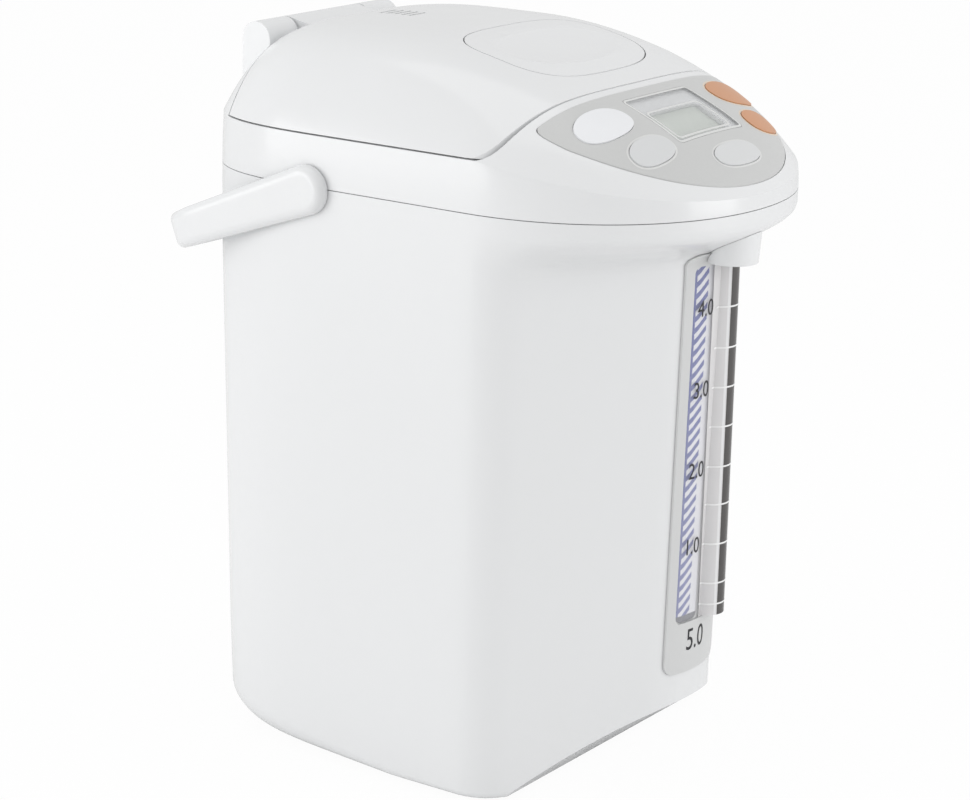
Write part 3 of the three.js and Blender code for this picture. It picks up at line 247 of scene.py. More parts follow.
# Joining and cutting, with the tools used up
def carve(base, *steps):
    for kind, tool in steps:
        change = base.modifiers.new("carve", "BOOLEAN")
        change.operation = {"-": "DIFFERENCE", "+": "UNION", "*": "INTERSECT"}[kind]
        change.solver = "MANIFOLD"
        change.object = tool
        bpy.context.view_layer.update()
        graph = bpy.context.evaluated_depsgraph_get()
        mesh = bpy.data.meshes.new_from_object(base.evaluated_get(graph))
        base.modifiers.clear()
        base.data = mesh
        bpy.data.objects.remove(tool)
    return base


# Plan outlines, anticlockwise from the nose
def mirrored(half):
    return half + [(-x, y) for x, y in reversed(half[1:-1])]


def rear_arc(inset, steps):
    wide, deep = HALF_WIDTH - inset, REAR_REACH - REAR_START - inset
    arc = []
    for i in range(steps + 1):
        turn = i / steps * math.pi / 2
        across = wide * max(0.0, math.cos(turn)) ** (2 / REAR_SHARE)
        arc.append((across, REAR_START + deep * math.sin(turn) ** (2 / REAR_SHARE)))
    return arc


def seam_outline(inset, front_steps, back_steps):
    wide, deep = HALF_WIDTH - inset, BEAK_REACH - BEAK_START - inset
    half = []
    for i in range(front_steps + 1):
        turn = i / front_steps * math.pi / 2
        ahead = deep * max(0.0, math.cos(turn)) ** (2 / BEAK_SHARE)
        half.append((wide * math.sin(turn) ** (2 / BEAK_SHARE), -BEAK_START - ahead))
    for k in range(1, SIDE_STEPS):
        half.append((wide, -BEAK_START + (REAR_START + BEAK_START) * k / SIDE_STEPS))
    return mirrored(half + rear_arc(inset, back_steps))


def wall_outline(inset, steps):
    nose_y = (FLANK_REACH - NOSE_RADIUS) / math.cos(FLANK_TURN)
    corner_x = HALF_WIDTH - CORNER_RADIUS
    corner_y = (FLANK_REACH - CORNER_RADIUS - corner_x * math.sin(FLANK_TURN)) / math.cos(FLANK_TURN)
    half = []
    for i in range(steps + 1):
        turn = i / steps * FLANK_TURN
        radius = NOSE_RADIUS - inset
        half.append((radius * math.sin(turn), -nose_y - radius * math.cos(turn)))
    for i in range(steps + 1):
        turn = FLANK_TURN + i / steps * (math.pi / 2 - FLANK_TURN)
        radius = CORNER_RADIUS - inset
        half.append((corner_x + radius * math.sin(turn), -corner_y - radius * math.cos(turn)))
    return mirrored(half + rear_arc(inset, steps))


def turn_of(x, y):
    return math.atan2(x, PLAN_MIDDLE - y) % (2 * math.pi)


RAYS = [turn_of(x, y) for x, y in seam_outline(0, BEAK_STEPS, REAR_STEPS)]


def on_rays(outline):
    turns = [turn_of(x, y) for x, y in outline]
    k, ring = 0, []
    for ray in RAYS:
        while k + 1 < len(turns) and turns[k + 1] <= ray:
            k += 1
        p, q = outline[k], outline[(k + 1) % len(outline)]
        near, far = (x * math.cos(ray) + (y - PLAN_MIDDLE) * math.sin(ray) for x, y in (p, q))
        share = 0 if near == far else near / (near - far)
        ring.append((p[0] + (q[0] - p[0]) * share, p[1] + (q[1] - p[1]) * share))
    return ring


def seam_ring(inset):
    return on_rays(seam_outline(inset, DENSE, DENSE))


def wall_ring(inset, z):
    depth = max(0.0, (BEAK_ROOT - z) / (BEAK_ROOT - BODY_BOTTOM))
    ring = []
    for x, y in on_rays(wall_outline(inset, DENSE)):
        rear = max(0.0, y - REAR_START) / (REAR_REACH - REAR_START)
        nose = max(0.0, -BEAK_START - y) / (FLANK_REACH - BEAK_START)
        ring.append((x, y + (NOSE_LEAN * nose - REAR_LEAN * rear) * depth, z))
    return ring


# A ring on the rounded lower edge, whose radius grows towards the rear
def edge_ring(inset, share):
    turn = share * math.pi / 2
    ring = []
    for (x, y, _), (a, b, _) in zip(wall_ring(inset, BODY_BOTTOM), wall_ring(inset + REAR_EDGE, BODY_BOTTOM)):
        along = min(1.0, max(0.0, (y - EDGE_START) / (EDGE_END - EDGE_START)))
        radius = FRONT_EDGE + (REAR_EDGE - FRONT_EDGE) * along
        pull = radius / REAR_EDGE * (1 - math.sin(turn))
        ring.append((x + (a - x) * pull, y + (b - y) * pull, BODY_BOTTOM + radius * (1 - math.cos(turn))))
    return ring


def between(p, q, share):
    return p[0] + (q[0] - p[0]) * share, p[1] + (q[1] - p[1]) * share


BODY_TOP = SEAM - SEAM_GAP / 2
TOP_FLOOR = SEAM + SEAM_GAP / 2
RIM_REACH = BEAK_REACH - RIM_INSET - BEAK_START


def body_form(inset, low=BODY_BOTTOM, high=BODY_TOP):
    rings = []
    if low < BODY_BOTTOM:
        rings.append([(x, y, low) for x, y, _ in edge_ring(inset, 0)])
    for i in range(EDGE_RINGS + 1):
        rings.append(edge_ring(inset, i / EDGE_RINGS))
    straight = BODY_BOTTOM + REAR_EDGE
    for i in range(1, WALL_RINGS):
        rings.append(wall_ring(inset, straight + (BEAK_ROOT - straight) * i / WALL_RINGS))
    wall, seam = wall_ring(inset, BEAK_ROOT), seam_ring(inset)
    for i in range(FLARE_RINGS + 1):
        share = i / FLARE_RINGS
        run = min(1.0, max(0.0, (share - FLARE_FROM) / (FLARE_TO - FLARE_FROM)))
        flare = run * run * (3 - 2 * run)
        z = BEAK_ROOT + (BODY_TOP - BEAK_ROOT) * share
        rings.append([(*between(p, q, flare), z) for p, q in zip(wall, seam)])
    if high > BODY_TOP:
        rings.append([(x, y, high) for x, y in seam])
    return loft(rings)


def toe_form(offset):
    shift = offset * math.sqrt(0.5)
    outline = []
    for i in range(TOE_STEPS + 1):
        run = i / TOE_STEPS * TOE_LENGTH
        outline.append((-TOE_START + shift - run, shift + run * TOE_RISE - run * run * TOE_SETTLE))
    last = outline[-1][1]
    outline += [(-BEAK_REACH - PAST, last), (-BEAK_REACH - PAST, -PAST), (-TOE_START + shift, -PAST)]
    return side_prism(outline, -HALF_WIDTH - PAST, HALF_WIDTH + PAST)


def rim_at(y):
    return RIM - RIM_DROP * max(0.0, -BEAK_START - y) / RIM_REACH


def crown_at(y):
    if y > CROWN_START:
        return CROWN
    share = (CROWN_START - y) / (CROWN_START + BEAK_START)
    if y > -BEAK_START:
        return CROWN - (CROWN - BRINK) * share * share
    return BRINK - NOSE_DROP * (-BEAK_START - y) / RIM_REACH


def upper_form(inset, floor=TOP_FLOOR):
    seam, rim = seam_ring(inset), seam_ring(inset + RIM_INSET)
    rings = [[(x, y, floor) for x, y in seam]]
    for i in range(1, SIDE_RINGS):
        share = i / SIDE_RINGS
        pull = share ** BULGE_POWER
        rings.append([
            (*between(p, q, pull), SEAM + (rim_at(q[1]) - SEAM) * share - inset)
            for p, q in zip(seam, rim)
        ])
    for i in range(CROWN_RINGS + 1):
        share = 1 - CROWN_RUN * (i / CROWN_RINGS) ** CROWN_CROWD
        ring = []
        for x, y in rim:
            flat = min(max(y, -BEAK_START), REAR_START)
            along = flat + (y - flat) * share
            rise = 1 - share ** CROWN_SHARE
            ring.append((x * share, along, rim_at(along) + (crown_at(along) - rim_at(along)) * rise - inset))
        rings.append(ring)
    return loft(rings)


def under(depth):
    return upper_form(depth, TOP_FLOOR - PAST - 2 * depth)


def edge_share(x):
    return min(1.0, abs(x) / (HALF_WIDTH - RIM_INSET)) ** CORNER_SHARE


def lid_line(x):
    turn = min(1.0, abs(x) / (HALF_WIDTH - RIM_INSET)) ** ROUND_SHARE
    return -LID_FRONT + LID_CORNER_SET * edge_share(x) + LID_CORNER_ROUND * turn


def behind_line(shift, corner, low, high, rear=LID_REAR):
    wide, outline = HALF_WIDTH + PAST, []
    for i in range(LID_STEPS + 1):
        x = -wide * math.cos(i / LID_STEPS * math.pi)
        outline.append((x, lid_line(x) + shift + corner * edge_share(x)))
    return prism(outline + [(wide, rear), (-wide, rear)], low, high)


def corner_curve(start, control, end, steps=10):
    points = []
    for i in range(1, steps + 1):
        t = i / steps
        near, bend, far = (1 - t) ** 2, 2 * t * (1 - t), t * t
        points.append(tuple(near * a + bend * b + far * c for a, b, c in zip(start, control, end)))
    return points


def lens_outline(grow):
    wide, deep = LENS_X + grow, LENS_DEEP + grow

    def front(x):
        return -BEAK_START - deep * max(0.0, 1 - (abs(x) / wide) ** BEAK_SHARE) ** (1 / BEAK_SHARE)

    def rear(x):
        return lid_line(x) - LENS_SET + grow

    tip, far = wide / 2, wide
    for _ in range(HALVINGS):
        middle = (tip + far) / 2
        if front(middle) < rear(middle):
            tip = middle
        else:
            far = middle
    across = [-(tip - LENS_TIP) * math.cos(i / LENS_STEPS * math.pi) for i in range(LENS_STEPS + 1)]
    lower, upper = [(x, front(x)) for x in across], [(x, rear(x)) for x in reversed(across)]
    right_end = corner_curve(lower[-1], (tip, front(tip)), upper[0])
    left_end = corner_curve(upper[-1], (-tip, front(-tip)), lower[0])
    return lower + right_end[:-1] + upper + left_end[:-1]


def lens_prism(grow):
    return prism(lens_outline(grow), SEAM, CROWN + PAST)


def release_prism(grow):
    return prism(oval(0, PLATE_Y, PLATE_X + grow, PLATE_DEEP + grow, PLATE_SHARE), RIM, CROWN + PAST)


def button_prism(button, grow):
    u, v, wide, deep = button
    return panel_prism(oval(u, v, wide + grow, deep + grow, BUTTON_SHARE), -BUTTON_HOLE, 2 * PAST)


def pivot_bore(side, radius):
    near, far = HALF_WIDTH - WALL - PAST, HALF_WIDTH + PAST
    return rod_x(radius, *sorted((side * near, side * far)), PIVOT_Y, SEAM)


# Finishes: each is made of shader nodes over the object's own place
ROUGH_SPREAD, RELIEF = 0.05, 0.0003


def links(tree, *pairs):
    for a, b in pairs:
        tree.links.new(a, b)


def finish(name, color, roughness, metallic=0.0, speckle=0.015, scale=60.0, coat=0.0, bump=0.0, alpha=1.0):
    material = bpy.data.materials.new(name)
    material.use_nodes = True
    tree = material.node_tree
    shader = tree.nodes["Principled BSDF"]
    place = tree.nodes.new("ShaderNodeTexCoord")
    noise = tree.nodes.new("ShaderNodeTexNoise")
    noise.inputs["Scale"].default_value = scale
    noise.inputs["Detail"].default_value = 4
    tint = tree.nodes.new("ShaderNodeMapRange")
    tint.inputs["To Min"].default_value = 1 - speckle
    tint.inputs["To Max"].default_value = 1 + speckle / 2
    shade = tree.nodes.new("ShaderNodeVectorMath")
    shade.operation = "SCALE"
    shade.inputs[0].default_value = color[:3]
    rough = tree.nodes.new("ShaderNodeMapRange")
    rough.inputs["To Min"].default_value = max(0.02, roughness - ROUGH_SPREAD)
    rough.inputs["To Max"].default_value = min(1.0, roughness + ROUGH_SPREAD)
    shader.inputs["Metallic"].default_value = metallic
    shader.inputs["Coat Weight"].default_value = coat
    shader.inputs["Coat Roughness"].default_value = 0.08
    shader.inputs["Alpha"].default_value = alpha
    links(
        tree,
        (place.outputs["Object"], noise.inputs["Vector"]),
        (noise.outputs["Fac"], tint.inputs["Value"]),
        (noise.outputs["Fac"], rough.inputs["Value"]),
        (tint.outputs["Result"], shade.inputs["Scale"]),
        (shade.outputs["Vector"], shader.inputs["Base Color"]),
        (rough.outputs["Result"], shader.inputs["Roughness"]),
    )
    if bump:
        relief = tree.nodes.new("ShaderNodeBump")
        relief.inputs["Strength"].default_value = bump
        relief.inputs["Distance"].default_value = RELIEF
        links(
            tree,
            (noise.outputs["Fac"], relief.inputs["Height"]),
            (relief.outputs["Normal"], shader.inputs["Normal"]),
        )
    return material


def clear_finish(name, color, roughness):
    material = finish(name, color, roughness, speckle=0.01)
    shader = material.node_tree.nodes["Principled BSDF"]
    shader.inputs["Transmission Weight"].default_value = 1.0
    shader.inputs["IOR"].default_value = 1.45
    return material


def math_node(tree, operation, *values):
    node = tree.nodes.new("ShaderNodeMath")
    node.operation = operation
    for slot, value in zip(node.inputs, values):
        if isinstance(value, (int, float)):
            slot.default_value = value
        else:
            tree.links.new(value, slot)
    return node.outputs["Value"]


def striped_finish():
    """White dashes on a blue band that fades towards the foot, with a pale margin on the right"""
    material = finish("gauge_stripes", (0.86, 0.86, 0.90), 0.35)
    tree = material.node_tree
    shader = tree.nodes["Principled BSDF"]
    split = tree.nodes.new("ShaderNodeSeparateXYZ")
    tree.links.new(tree.nodes["Texture Coordinate"].outputs["Object"], split.inputs["Vector"])
    across, height = split.outputs["X"], split.outputs["Z"]
    slant = math_node(tree, "MULTIPLY_ADD", across, STRIPE_SLOPE, height)
    turn = math_node(tree, "FRACT", math_node(tree, "DIVIDE", slant, STRIPE_PITCH * MM))
    dash = math_node(tree, "LESS_THAN", turn, STRIPE_SHARE)
    edge = math_node(tree, "LESS_THAN", across, STRIPE_LEFT * MM)
    band = math_node(tree, "LESS_THAN", across, STRIPE_RIGHT * MM)
    blue = math_node(tree, "MULTIPLY", math_node(tree, "MAXIMUM", dash, edge), band)
    fade = tree.nodes.new("ShaderNodeMapRange")
    fade.inputs["From Min"].default_value = STRIP[1] * MM
    fade.inputs["From Max"].default_value = STRIP[3] * MM
    fade.inputs["To Min"].default_value = STRIPE_FOOT
    foot = math_node(tree, "LESS_THAN", height, (STRIP[1] + STRIPE_DARK) * MM)
    tones = tree.nodes.new("ShaderNodeMix")
    tones.data_type = "RGBA"
    tones.inputs[6].default_value = (0.03, 0.035, 0.06, 1)
    tones.inputs[7].default_value = (0.035, 0.06, 0.34, 1)
    mix = tree.nodes.new("ShaderNodeMix")
    mix.data_type = "RGBA"
    inked = math_node(tree, "MAXIMUM", blue, foot)
    links(
        tree,
        (height, fade.inputs["Value"]),
        (math_node(tree, "SUBTRACT", 1.0, foot), tones.inputs[0]),
        (math_node(tree, "MULTIPLY", inked, fade.outputs["Result"]), mix.inputs[0]),
        (shader.inputs["Base Color"].links[0].from_socket, mix.inputs[6]),
        (tones.outputs[2], mix.inputs[7]),
        (mix.outputs[2], shader.inputs["Base Color"]),
    )
    return material


def cover_finish():
    """Clear plastic film with painted light: a painted highlight line, a painted near-black reflection band
    along its curved right side, and a pale painted-light layer over the tube
    """
    material = finish("cover_clear", (0.86, 0.86, 0.87), 0.08, speckle=0.01)
    tree = material.node_tree
    shader = tree.nodes["Principled BSDF"]
    split = tree.nodes.new("ShaderNodeSeparateXYZ")
    tree.links.new(tree.nodes["Texture Coordinate"].outputs["Object"], split.inputs["Vector"])
    # The painted marks run across the cover along the camera's right-hand direction, so they sit right only
    # from this view
    side, ahead = math.cos(COVER_TURN), math.sin(COVER_TURN)
    middle = TUBE_X * side + COVER_Y * ahead
    depth = math_node(tree, "MULTIPLY", split.outputs["Y"], ahead)
    across = math_node(tree, "MULTIPLY_ADD", split.outputs["X"], side, depth)
    # Masks of the painted highlight line, the painted reflection band and the pale painted-light layer
    painted_highlight = math_node(tree, "COMPARE", across, (middle + PAINTED_HIGHLIGHT_AT) * MM, PAINTED_HIGHLIGHT_HALF * MM)
    painted_reflection = math_node(tree, "GREATER_THAN", across, (middle + PAINTED_REFLECTION_FROM) * MM)
    painted_light = math_node(tree, "GREATER_THAN", across, (middle + PAINTED_LIGHT_FROM) * MM)
    # Pale tone of the painted light over the tube
    painted_light_tone = tree.nodes.new("ShaderNodeMix")
    painted_light_tone.data_type = "RGBA"
    painted_light_tone.inputs[7].default_value = (0.84, 0.83, 0.835, 1)
    # Near-black tone of the painted reflection band
    tones = tree.nodes.new("ShaderNodeMix")
    tones.data_type = "RGBA"
    tones.inputs[7].default_value = (0.085, 0.08, 0.078, 1)
    # Extra opacity for the painted highlight and painted reflection, and for the painted-light layer
    painted_marks_alpha = math_node(tree, "MULTIPLY", math_node(tree, "MAXIMUM", painted_highlight, painted_reflection), COVER_PAINTED_MARKS)
    cover = math_node(tree, "MULTIPLY_ADD", painted_light, COVER_PAINTED_LIGHT, COVER_FILM)
    links(
        tree,
        (math_node(tree, "SUBTRACT", painted_light, painted_highlight), painted_light_tone.inputs[0]),
        (shader.inputs["Base Color"].links[0].from_socket, painted_light_tone.inputs[6]),
        (painted_reflection, tones.inputs[0]),
        (painted_light_tone.outputs[2], tones.inputs[6]),
        (tones.outputs[2], shader.inputs["Base Color"]),
        (math_node(tree, "ADD", cover, painted_marks_alpha), shader.inputs["Alpha"]),
    )
    return material


FINISHES = {
    "white_shell": finish("white_shell", (0.82, 0.828, 0.835), 0.22, coat=0.25, speckle=0.008, scale=14),
    "soft_white": finish("soft_white", (0.74, 0.745, 0.74), 0.42, speckle=0.02),
    "silver": finish("silver", (0.61, 0.615, 0.61), 0.32, speckle=0.03, scale=700),
    "button_white": finish("button_white", (0.70, 0.71, 0.71), 0.38, speckle=0.02, bump=0.05),
    "button_orange": finish("button_orange", (0.64, 0.31, 0.155), 0.38, speckle=0.04, bump=0.05),
    "screen": finish("screen", (0.68, 0.73, 0.66), 0.25, speckle=0.03, scale=300),
    "clear": clear_finish("clear", (0.97, 0.98, 0.98), 0.05),
    "steel": finish("steel", (0.62, 0.63, 0.64), 0.24, metallic=1.0, speckle=0.06, scale=240),
    "rubber_pad": finish("rubber_pad", (0.05, 0.05, 0.052), 0.8, speckle=0.2, bump=0.4, scale=400),
    "silicone": finish("silicone", (0.66, 0.64, 0.58), 0.55, speckle=0.04),
    "dark_plastic": finish("dark_plastic", (0.03, 0.03, 0.033), 0.45, speckle=0.15, bump=0.2, scale=500),
    "board": finish("board", (0.03, 0.16, 0.07), 0.4, speckle=0.25, scale=300),
    "brass": finish("brass", (0.70, 0.52, 0.22), 0.3, metallic=1.0, speckle=0.1),
    "foam": finish("foam", (0.60, 0.61, 0.63), 0.9, speckle=0.15, bump=0.6, scale=300),
    "pale_print": finish("pale_print", (0.74, 0.745, 0.735), 0.35, speckle=0.02),
    "plate_pale": finish("plate_pale", (0.66, 0.665, 0.665), 0.32, speckle=0.02, scale=700),
    "window_pane": finish("window_pane", (0.80, 0.81, 0.82), 0.1, alpha=0.25),
    # Clear gauge cover with a painted highlight, a painted reflection band and a pale painted-light layer
    "cover_clear": cover_finish(),
    "tube_clear": finish("tube_clear", (0.62, 0.61, 0.61), 0.1, alpha=0.22),
    "ring_cream": finish("ring_cream", (0.78, 0.68, 0.56), 0.4, speckle=0.02),
    "key_white": finish("key_white", (0.86, 0.87, 0.89), 0.35, speckle=0.02),
    "key_pale": finish("key_pale", (0.70, 0.71, 0.715), 0.34, speckle=0.02),
    "line_white": finish("line_white", (0.88, 0.88, 0.88), 0.4, speckle=0.02),
    "ink": finish("ink", (0.012, 0.012, 0.016), 0.5, speckle=0.1),
}

for entry in frame["record"]["subparts"]:
    node = frame["nodes"][entry["node"]]
    for material_slot in node.material_slots:
        material_slot.material = FINISHES[entry["material_slot"]]
for material_slot in frame["nodes"]["gauge_strip"].material_slots:
    material_slot.material = striped_finish()
for material_slot in frame["nodes"]["gauge_tube"].material_slots:
    material_slot.material = FINISHES["tube_clear"]

KEY_LOOKS = {"reboil": "key_white", "timer": "key_pale", "temp_set": "key_pale"}
SLOTS = {entry["node"]: entry["material_slot"] for entry in frame["record"]["subparts"]}


def piece(obj, name, body, node=None, look=None, angle=32.0, bevel=0.0):
    obj.name = name
    obj.data.name = name
    obj.data.materials.clear()
    slot = look or SLOTS[node]
    obj.data.materials.append(FINISHES[slot])
    obj.data.shade_smooth()
    obj.data.set_sharp_from_angle(angle=math.radians(angle))
    if bevel:
        edge = obj.modifiers.new("edge", "BEVEL")
        edge.width = bevel * MM
        edge.segments = 2
        edge.angle_limit = math.radians(angle)
        edge.harden_normals = True
    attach(obj, body)
    if node:
        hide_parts(node)
    return obj


# Lower housing
FRONT = -BEAK_REACH - PAST
hollow = carve(body_form(WALL, -PAST, SEAM + PAST), ("-", toe_form(WALL)))
slot_box = (TUBE_X - SLOT_X, GAUGE_WINDOW[1] + SLOT_END, TUBE_X + SLOT_X, GAUGE_WINDOW[3] - SLOT_END)
shell = carve(
    body_form(0),
    ("-", toe_form(0)),
    ("-", hollow),
    ("-", carve(front_prism(rounded(STRIP, BOX_ROUND, GAP), FRONT, 0), ("-", body_form(STRIP_THICK + GAP)))),
    ("-", front_prism(rounded(slot_box, BOX_ROUND), FRONT, TUBE_Y)),
    ("-", post(SPOUT + GAP, BEAK_ROOT, SEAM, 0, NOZZLE_Y)),
    ("-", front_prism(rounded(INLET, BOX_ROUND, GAP), INLET_FRONT, REAR_REACH + PAST)),
    ("-", pivot_bore(-1, STUD + GAP)),
    ("-", pivot_bore(1, STUD + GAP)),
)
piece(shell, "smooth_body_shell", "pot", "body_shell")


# Upper housing
wide, high = HALF_WIDTH + PAST, CROWN + PAST
rear_face = LID_REAR + LID_GAP
shell = carve(
    upper_form(0),
    ("-", under(WALL)),
    ("-", behind_line(0, 0, RIM - SEAM_GAP, high, rear_face)),
    ("-", carve(lens_prism(GAP), ("-", upper_form(LENS_THICK - LENS_PROUD + GAP, SEAM - PAST)))),
)
for button in BUTTONS.values():
    carve(shell, ("-", button_prism(button, BUTTON_GAP)))
front_wall = carve(
    behind_line(-WALL, 0, DECK, high),
    ("-", behind_line(0, 0, DECK - PAST, high + PAST, REAR_REACH)),
)
deck = carve(
    behind_line(-WALL, 0, DECK, DECK + DECK_THICK, REAR_REACH),
    ("+", front_wall),
    ("+", block((-wide, rear_face, DECK), (wide, rear_face + WALL, high))),
    ("*", upper_form(WALL / 2)),
)
lip_low = TOP_FLOOR - LIP_DEPTH
lip = carve(
    prism(seam_ring(WALL / 2), TOP_FLOOR, TOP_FLOOR + LIP_THICK + GAP),
    ("+", prism(seam_ring(WALL + GAP), lip_low, TOP_FLOOR + LIP_THICK)),
    ("-", prism(seam_ring(WALL + GAP + LIP_THICK), lip_low - PAST, TOP_FLOOR + PAST)),
    ("-", block((-wide, FRONT, lip_low - PAST), (wide, LIP_FRONT, TOP_FLOOR + PAST))),
)
reach = BARREL_X + GAP
latch_top = LINER + LINER_THICK + LATCH_HIGH + 2 * GAP
latch_slot = block(
    (-LATCH_X - GAP, -LID_FRONT - WALL - GAP, LINER),
    (LATCH_X + GAP, -LID_FRONT + PAST, latch_top),
)
carve(
    shell,
    ("-", panel_prism(rounded(SCREEN, WINDOW_ROUND, GAP), -WALL, 2 * PAST)),
    ("+", deck),
    ("-", post(DECK_HOLE, DECK - PAST, DECK + DECK_THICK + GAP, 0, VESSEL_Y, DECK_FINE)),
    ("+", lip),
    ("-", latch_slot),
    ("-", block((-reach, LID_REAR - PAST, HINGE_Z - BARREL - GAP), (reach, HINGE_Y, high))),
    ("-", rod_x(BARREL + 2 * GAP, -reach, reach, HINGE_Y, HINGE_Z)),
    ("-", pivot_bore(-1, STUD + GAP)),
    ("-", pivot_bore(1, STUD + GAP)),
)
piece(shell, "smooth_shoulder", "pot", "shoulder")


# Lid
low = RIM + SEAM_GAP
region = behind_line(LID_GAP, LID_CORNER_GAP, low, high)
front_wall = carve(behind_line(LID_GAP, LID_CORNER_GAP, low, high), ("-", behind_line(
    LID_GAP + LID_FRONT_WALL, LID_CORNER_GAP, low - PAST, high + PAST, LID_REAR - LID_FRONT_WALL,
)))
pocket = carve(
    release_prism(POCKET_WALL),
    ("*", upper_form(LID_WALL / 2)),
    ("-", under(POCKET + POCKET_WALL)),
)
lid = carve(
    upper_form(0),
    ("-", under(LID_WALL)),
    ("*", region),
    ("+", carve(upper_form(LID_WALL / 2), ("-", under(LID_FRONT_DEPTH)), ("*", front_wall))),
    ("+", pocket),
    ("-", carve(release_prism(0), ("-", under(POCKET)))),
    ("+", side_prism([
        (LID_REAR - TONGUE_BACK, HINGE_Z + BARREL - TONGUE_DEPTH - TONGUE_LESS),
        (HINGE_Y, HINGE_Z - BARREL),
        (HINGE_Y, HINGE_Z + BARREL),
        (LID_REAR - TONGUE_BACK, HINGE_Z + TONGUE_BACK),
    ], -BARREL_X, BARREL_X)),
    ("+", rod_x(BARREL, -BARREL_X, BARREL_X, HINGE_Y, HINGE_Z)),
    ("-", rod_x(PIN_R + GAP, -HALF_WIDTH, HALF_WIDTH, HINGE_Y, HINGE_Z)),
)
for i in range(VENTS):
    y = VENT_Y + (i - VENTS // 2) * VENT_PITCH
    carve(lid, ("-", block((-VENT_X, y - VENT_HALF, VENT_FLOOR), (VENT_X, y + VENT_HALF, high))))
trunnion_z = crown_at(TRUNNION_Y) - TRUNNION_DEPTH
carve(lid, ("-", rod_x(TRUNNION_R + GAP, -TRUNNION_X - GAP, TRUNNION_X + GAP, TRUNNION_Y, trunnion_z)))
piece(lid, "smooth_lid", "lid", "lid_shell")

plate = carve(release_prism(-PLATE_GAP), ("*", upper_form(0)), ("-", under(PLATE_THICK)))
bpy.ops.mesh.primitive_uv_sphere_add(segments=96, ring_count=48, radius=1)
dish = bpy.context.object
spread, tall = math.sqrt(4 / 3), DISH[2] * 2
dish.data.transform(
    Matrix.Translation(Vector((0, PLATE_Y, crown_at(PLATE_Y) + tall / 2)) * MM)
    @ Matrix.Rotation(DISH[3], 4, "X")
    @ Matrix.Diagonal(Vector((DISH[0] * spread, DISH[1] * spread, tall, 1000)) * MM)
)
carve(plate, ("-", dish), ("+", rod_x(TRUNNION_R, -TRUNNION_X, TRUNNION_X, TRUNNION_Y, trunnion_z)))
piece(plate, "smooth_release_plate", "release", "release_plate")


# Panel
def skin(cutter, proud, thick):
    return carve(cutter, ("*", upper_form(-proud)), ("-", under(thick - proud)))


lens = skin(lens_prism(0), LENS_PROUD, LENS_THICK)
for button in BUTTONS.values():
    carve(lens, ("-", button_prism(button, BUTTON_GAP)))
carve(lens, ("-", panel_prism(rounded(WINDOW, WINDOW_ROUND, GAP), -BUTTON_DEPTH, 2 * PAST)))
piece(lens, "smooth_panel", "pot", "panel_plate")
pane = skin(panel_prism(rounded(WINDOW, WINDOW_ROUND), -BUTTON_DEPTH, 2 * PAST), PANE_PROUD, LENS_THICK)
piece(pane, "smooth_window", "pot", "display_window", "window_pane")
for name, box, rim, corner in (
    ("window_frame", WINDOW, WINDOW_RIM, WINDOW_ROUND),
    ("screen_frame", SCREEN, SCREEN_RIM, SCREEN_ROUND),
):
    low_rim, high_rim = sorted((0, rim))
    cutter = carve(
        panel_prism(rounded(box, corner, high_rim), -BUTTON_DEPTH, 2 * PAST),
        ("-", panel_prism(rounded(box, corner, low_rim), -BUTTON_DEPTH - PAST, 3 * PAST)),
    )
    carve(cutter, ("*", upper_form(-PRINT[1])), ("-", upper_form(-PRINT[0], SEAM - PAST)))
    piece(cutter, name, "pot", look="pale_print")
for name, button in BUTTONS.items():
    flange = carve(button_prism(button, KEY_FLANGE), ("*", upper_form(WALL + 2 * GAP)))
    cap = carve(button_prism(button, 0), ("*", upper_form(-BUTTON_PROUD)), ("+", flange))
    carve(cap, ("-", under(BUTTON_DEPTH)))
    look = KEY_LOOKS.get(name)
    piece(cap, "smooth_button_" + name, "key_" + name, "button_" + name, look, bevel=KEY_BEVEL)
    if look != "key_white":
        u, v, wide, deep = button
        hole = oval(u, v, wide + RING[0], deep + RING[0], BUTTON_SHARE)
        ring = carve(button_prism(button, RING[1]), ("-", panel_prism(hole, -BUTTON_HOLE - PAST, 3 * PAST)))
        carve(ring, ("*", upper_form(-PRINT[1])), ("-", upper_form(-PRINT[0], SEAM - PAST)))
        piece(ring, "ring_" + name, "pot", look="pale_print" if look else "ring_cream")


# Gauge and nozzle
plate = carve(
    body_form(-GAP - GAUGE_THICK),
    ("-", body_form(-GAP)),
    ("*", front_prism(rounded(GAUGE, PLATE_ROUND), FRONT, 0)),
    ("-", front_prism(rounded(GAUGE_WINDOW, BOX_ROUND, GAP), FRONT, 0)),
)
piece(plate, "smooth_gauge_plate", "pot", "gauge_plate", "plate_pale")
ends = (GAUGE_WINDOW[1] + COVER_END, GAUGE_WINDOW[3] - COVER_END)
cover = carve(
    body_form(-GAP - GAUGE_THICK),
    ("*", front_prism(rounded(GAUGE_WINDOW, BOX_ROUND), FRONT, 0)),
    ("+", post(COVER_R, ends[0], ends[1], TUBE_X, COVER_Y, FINE)),
    ("-", body_form(-GAP)),
    ("-", post(COVER_R - COVER_WALL, ends[0] + COVER_WALL, ends[1] - COVER_WALL, TUBE_X, COVER_Y, FINE)),
)
piece(cover, "smooth_gauge_cover", "pot", "gauge_cover", "cover_clear")
skirt_top = SEAM - SEAM_GAP
rings = []
for z, radius in ((NOZZLE_LOW, NOZZLE_R), (skirt_top, NOZZLE_ROOT)):
    rings.append([(x, y, z) for x, y in circle(0, NOZZLE_Y, radius, FINE)])
bore = []
for z, radius in (
    (NOZZLE_LOW - BORE_MORE, NOZZLE_R - NOZZLE_WALL),
    (skirt_top + BORE_MORE, NOZZLE_ROOT - NOZZLE_WALL),
):
    bore.append([(x, y, z) for x, y in circle(0, NOZZLE_Y, radius, FINE)])
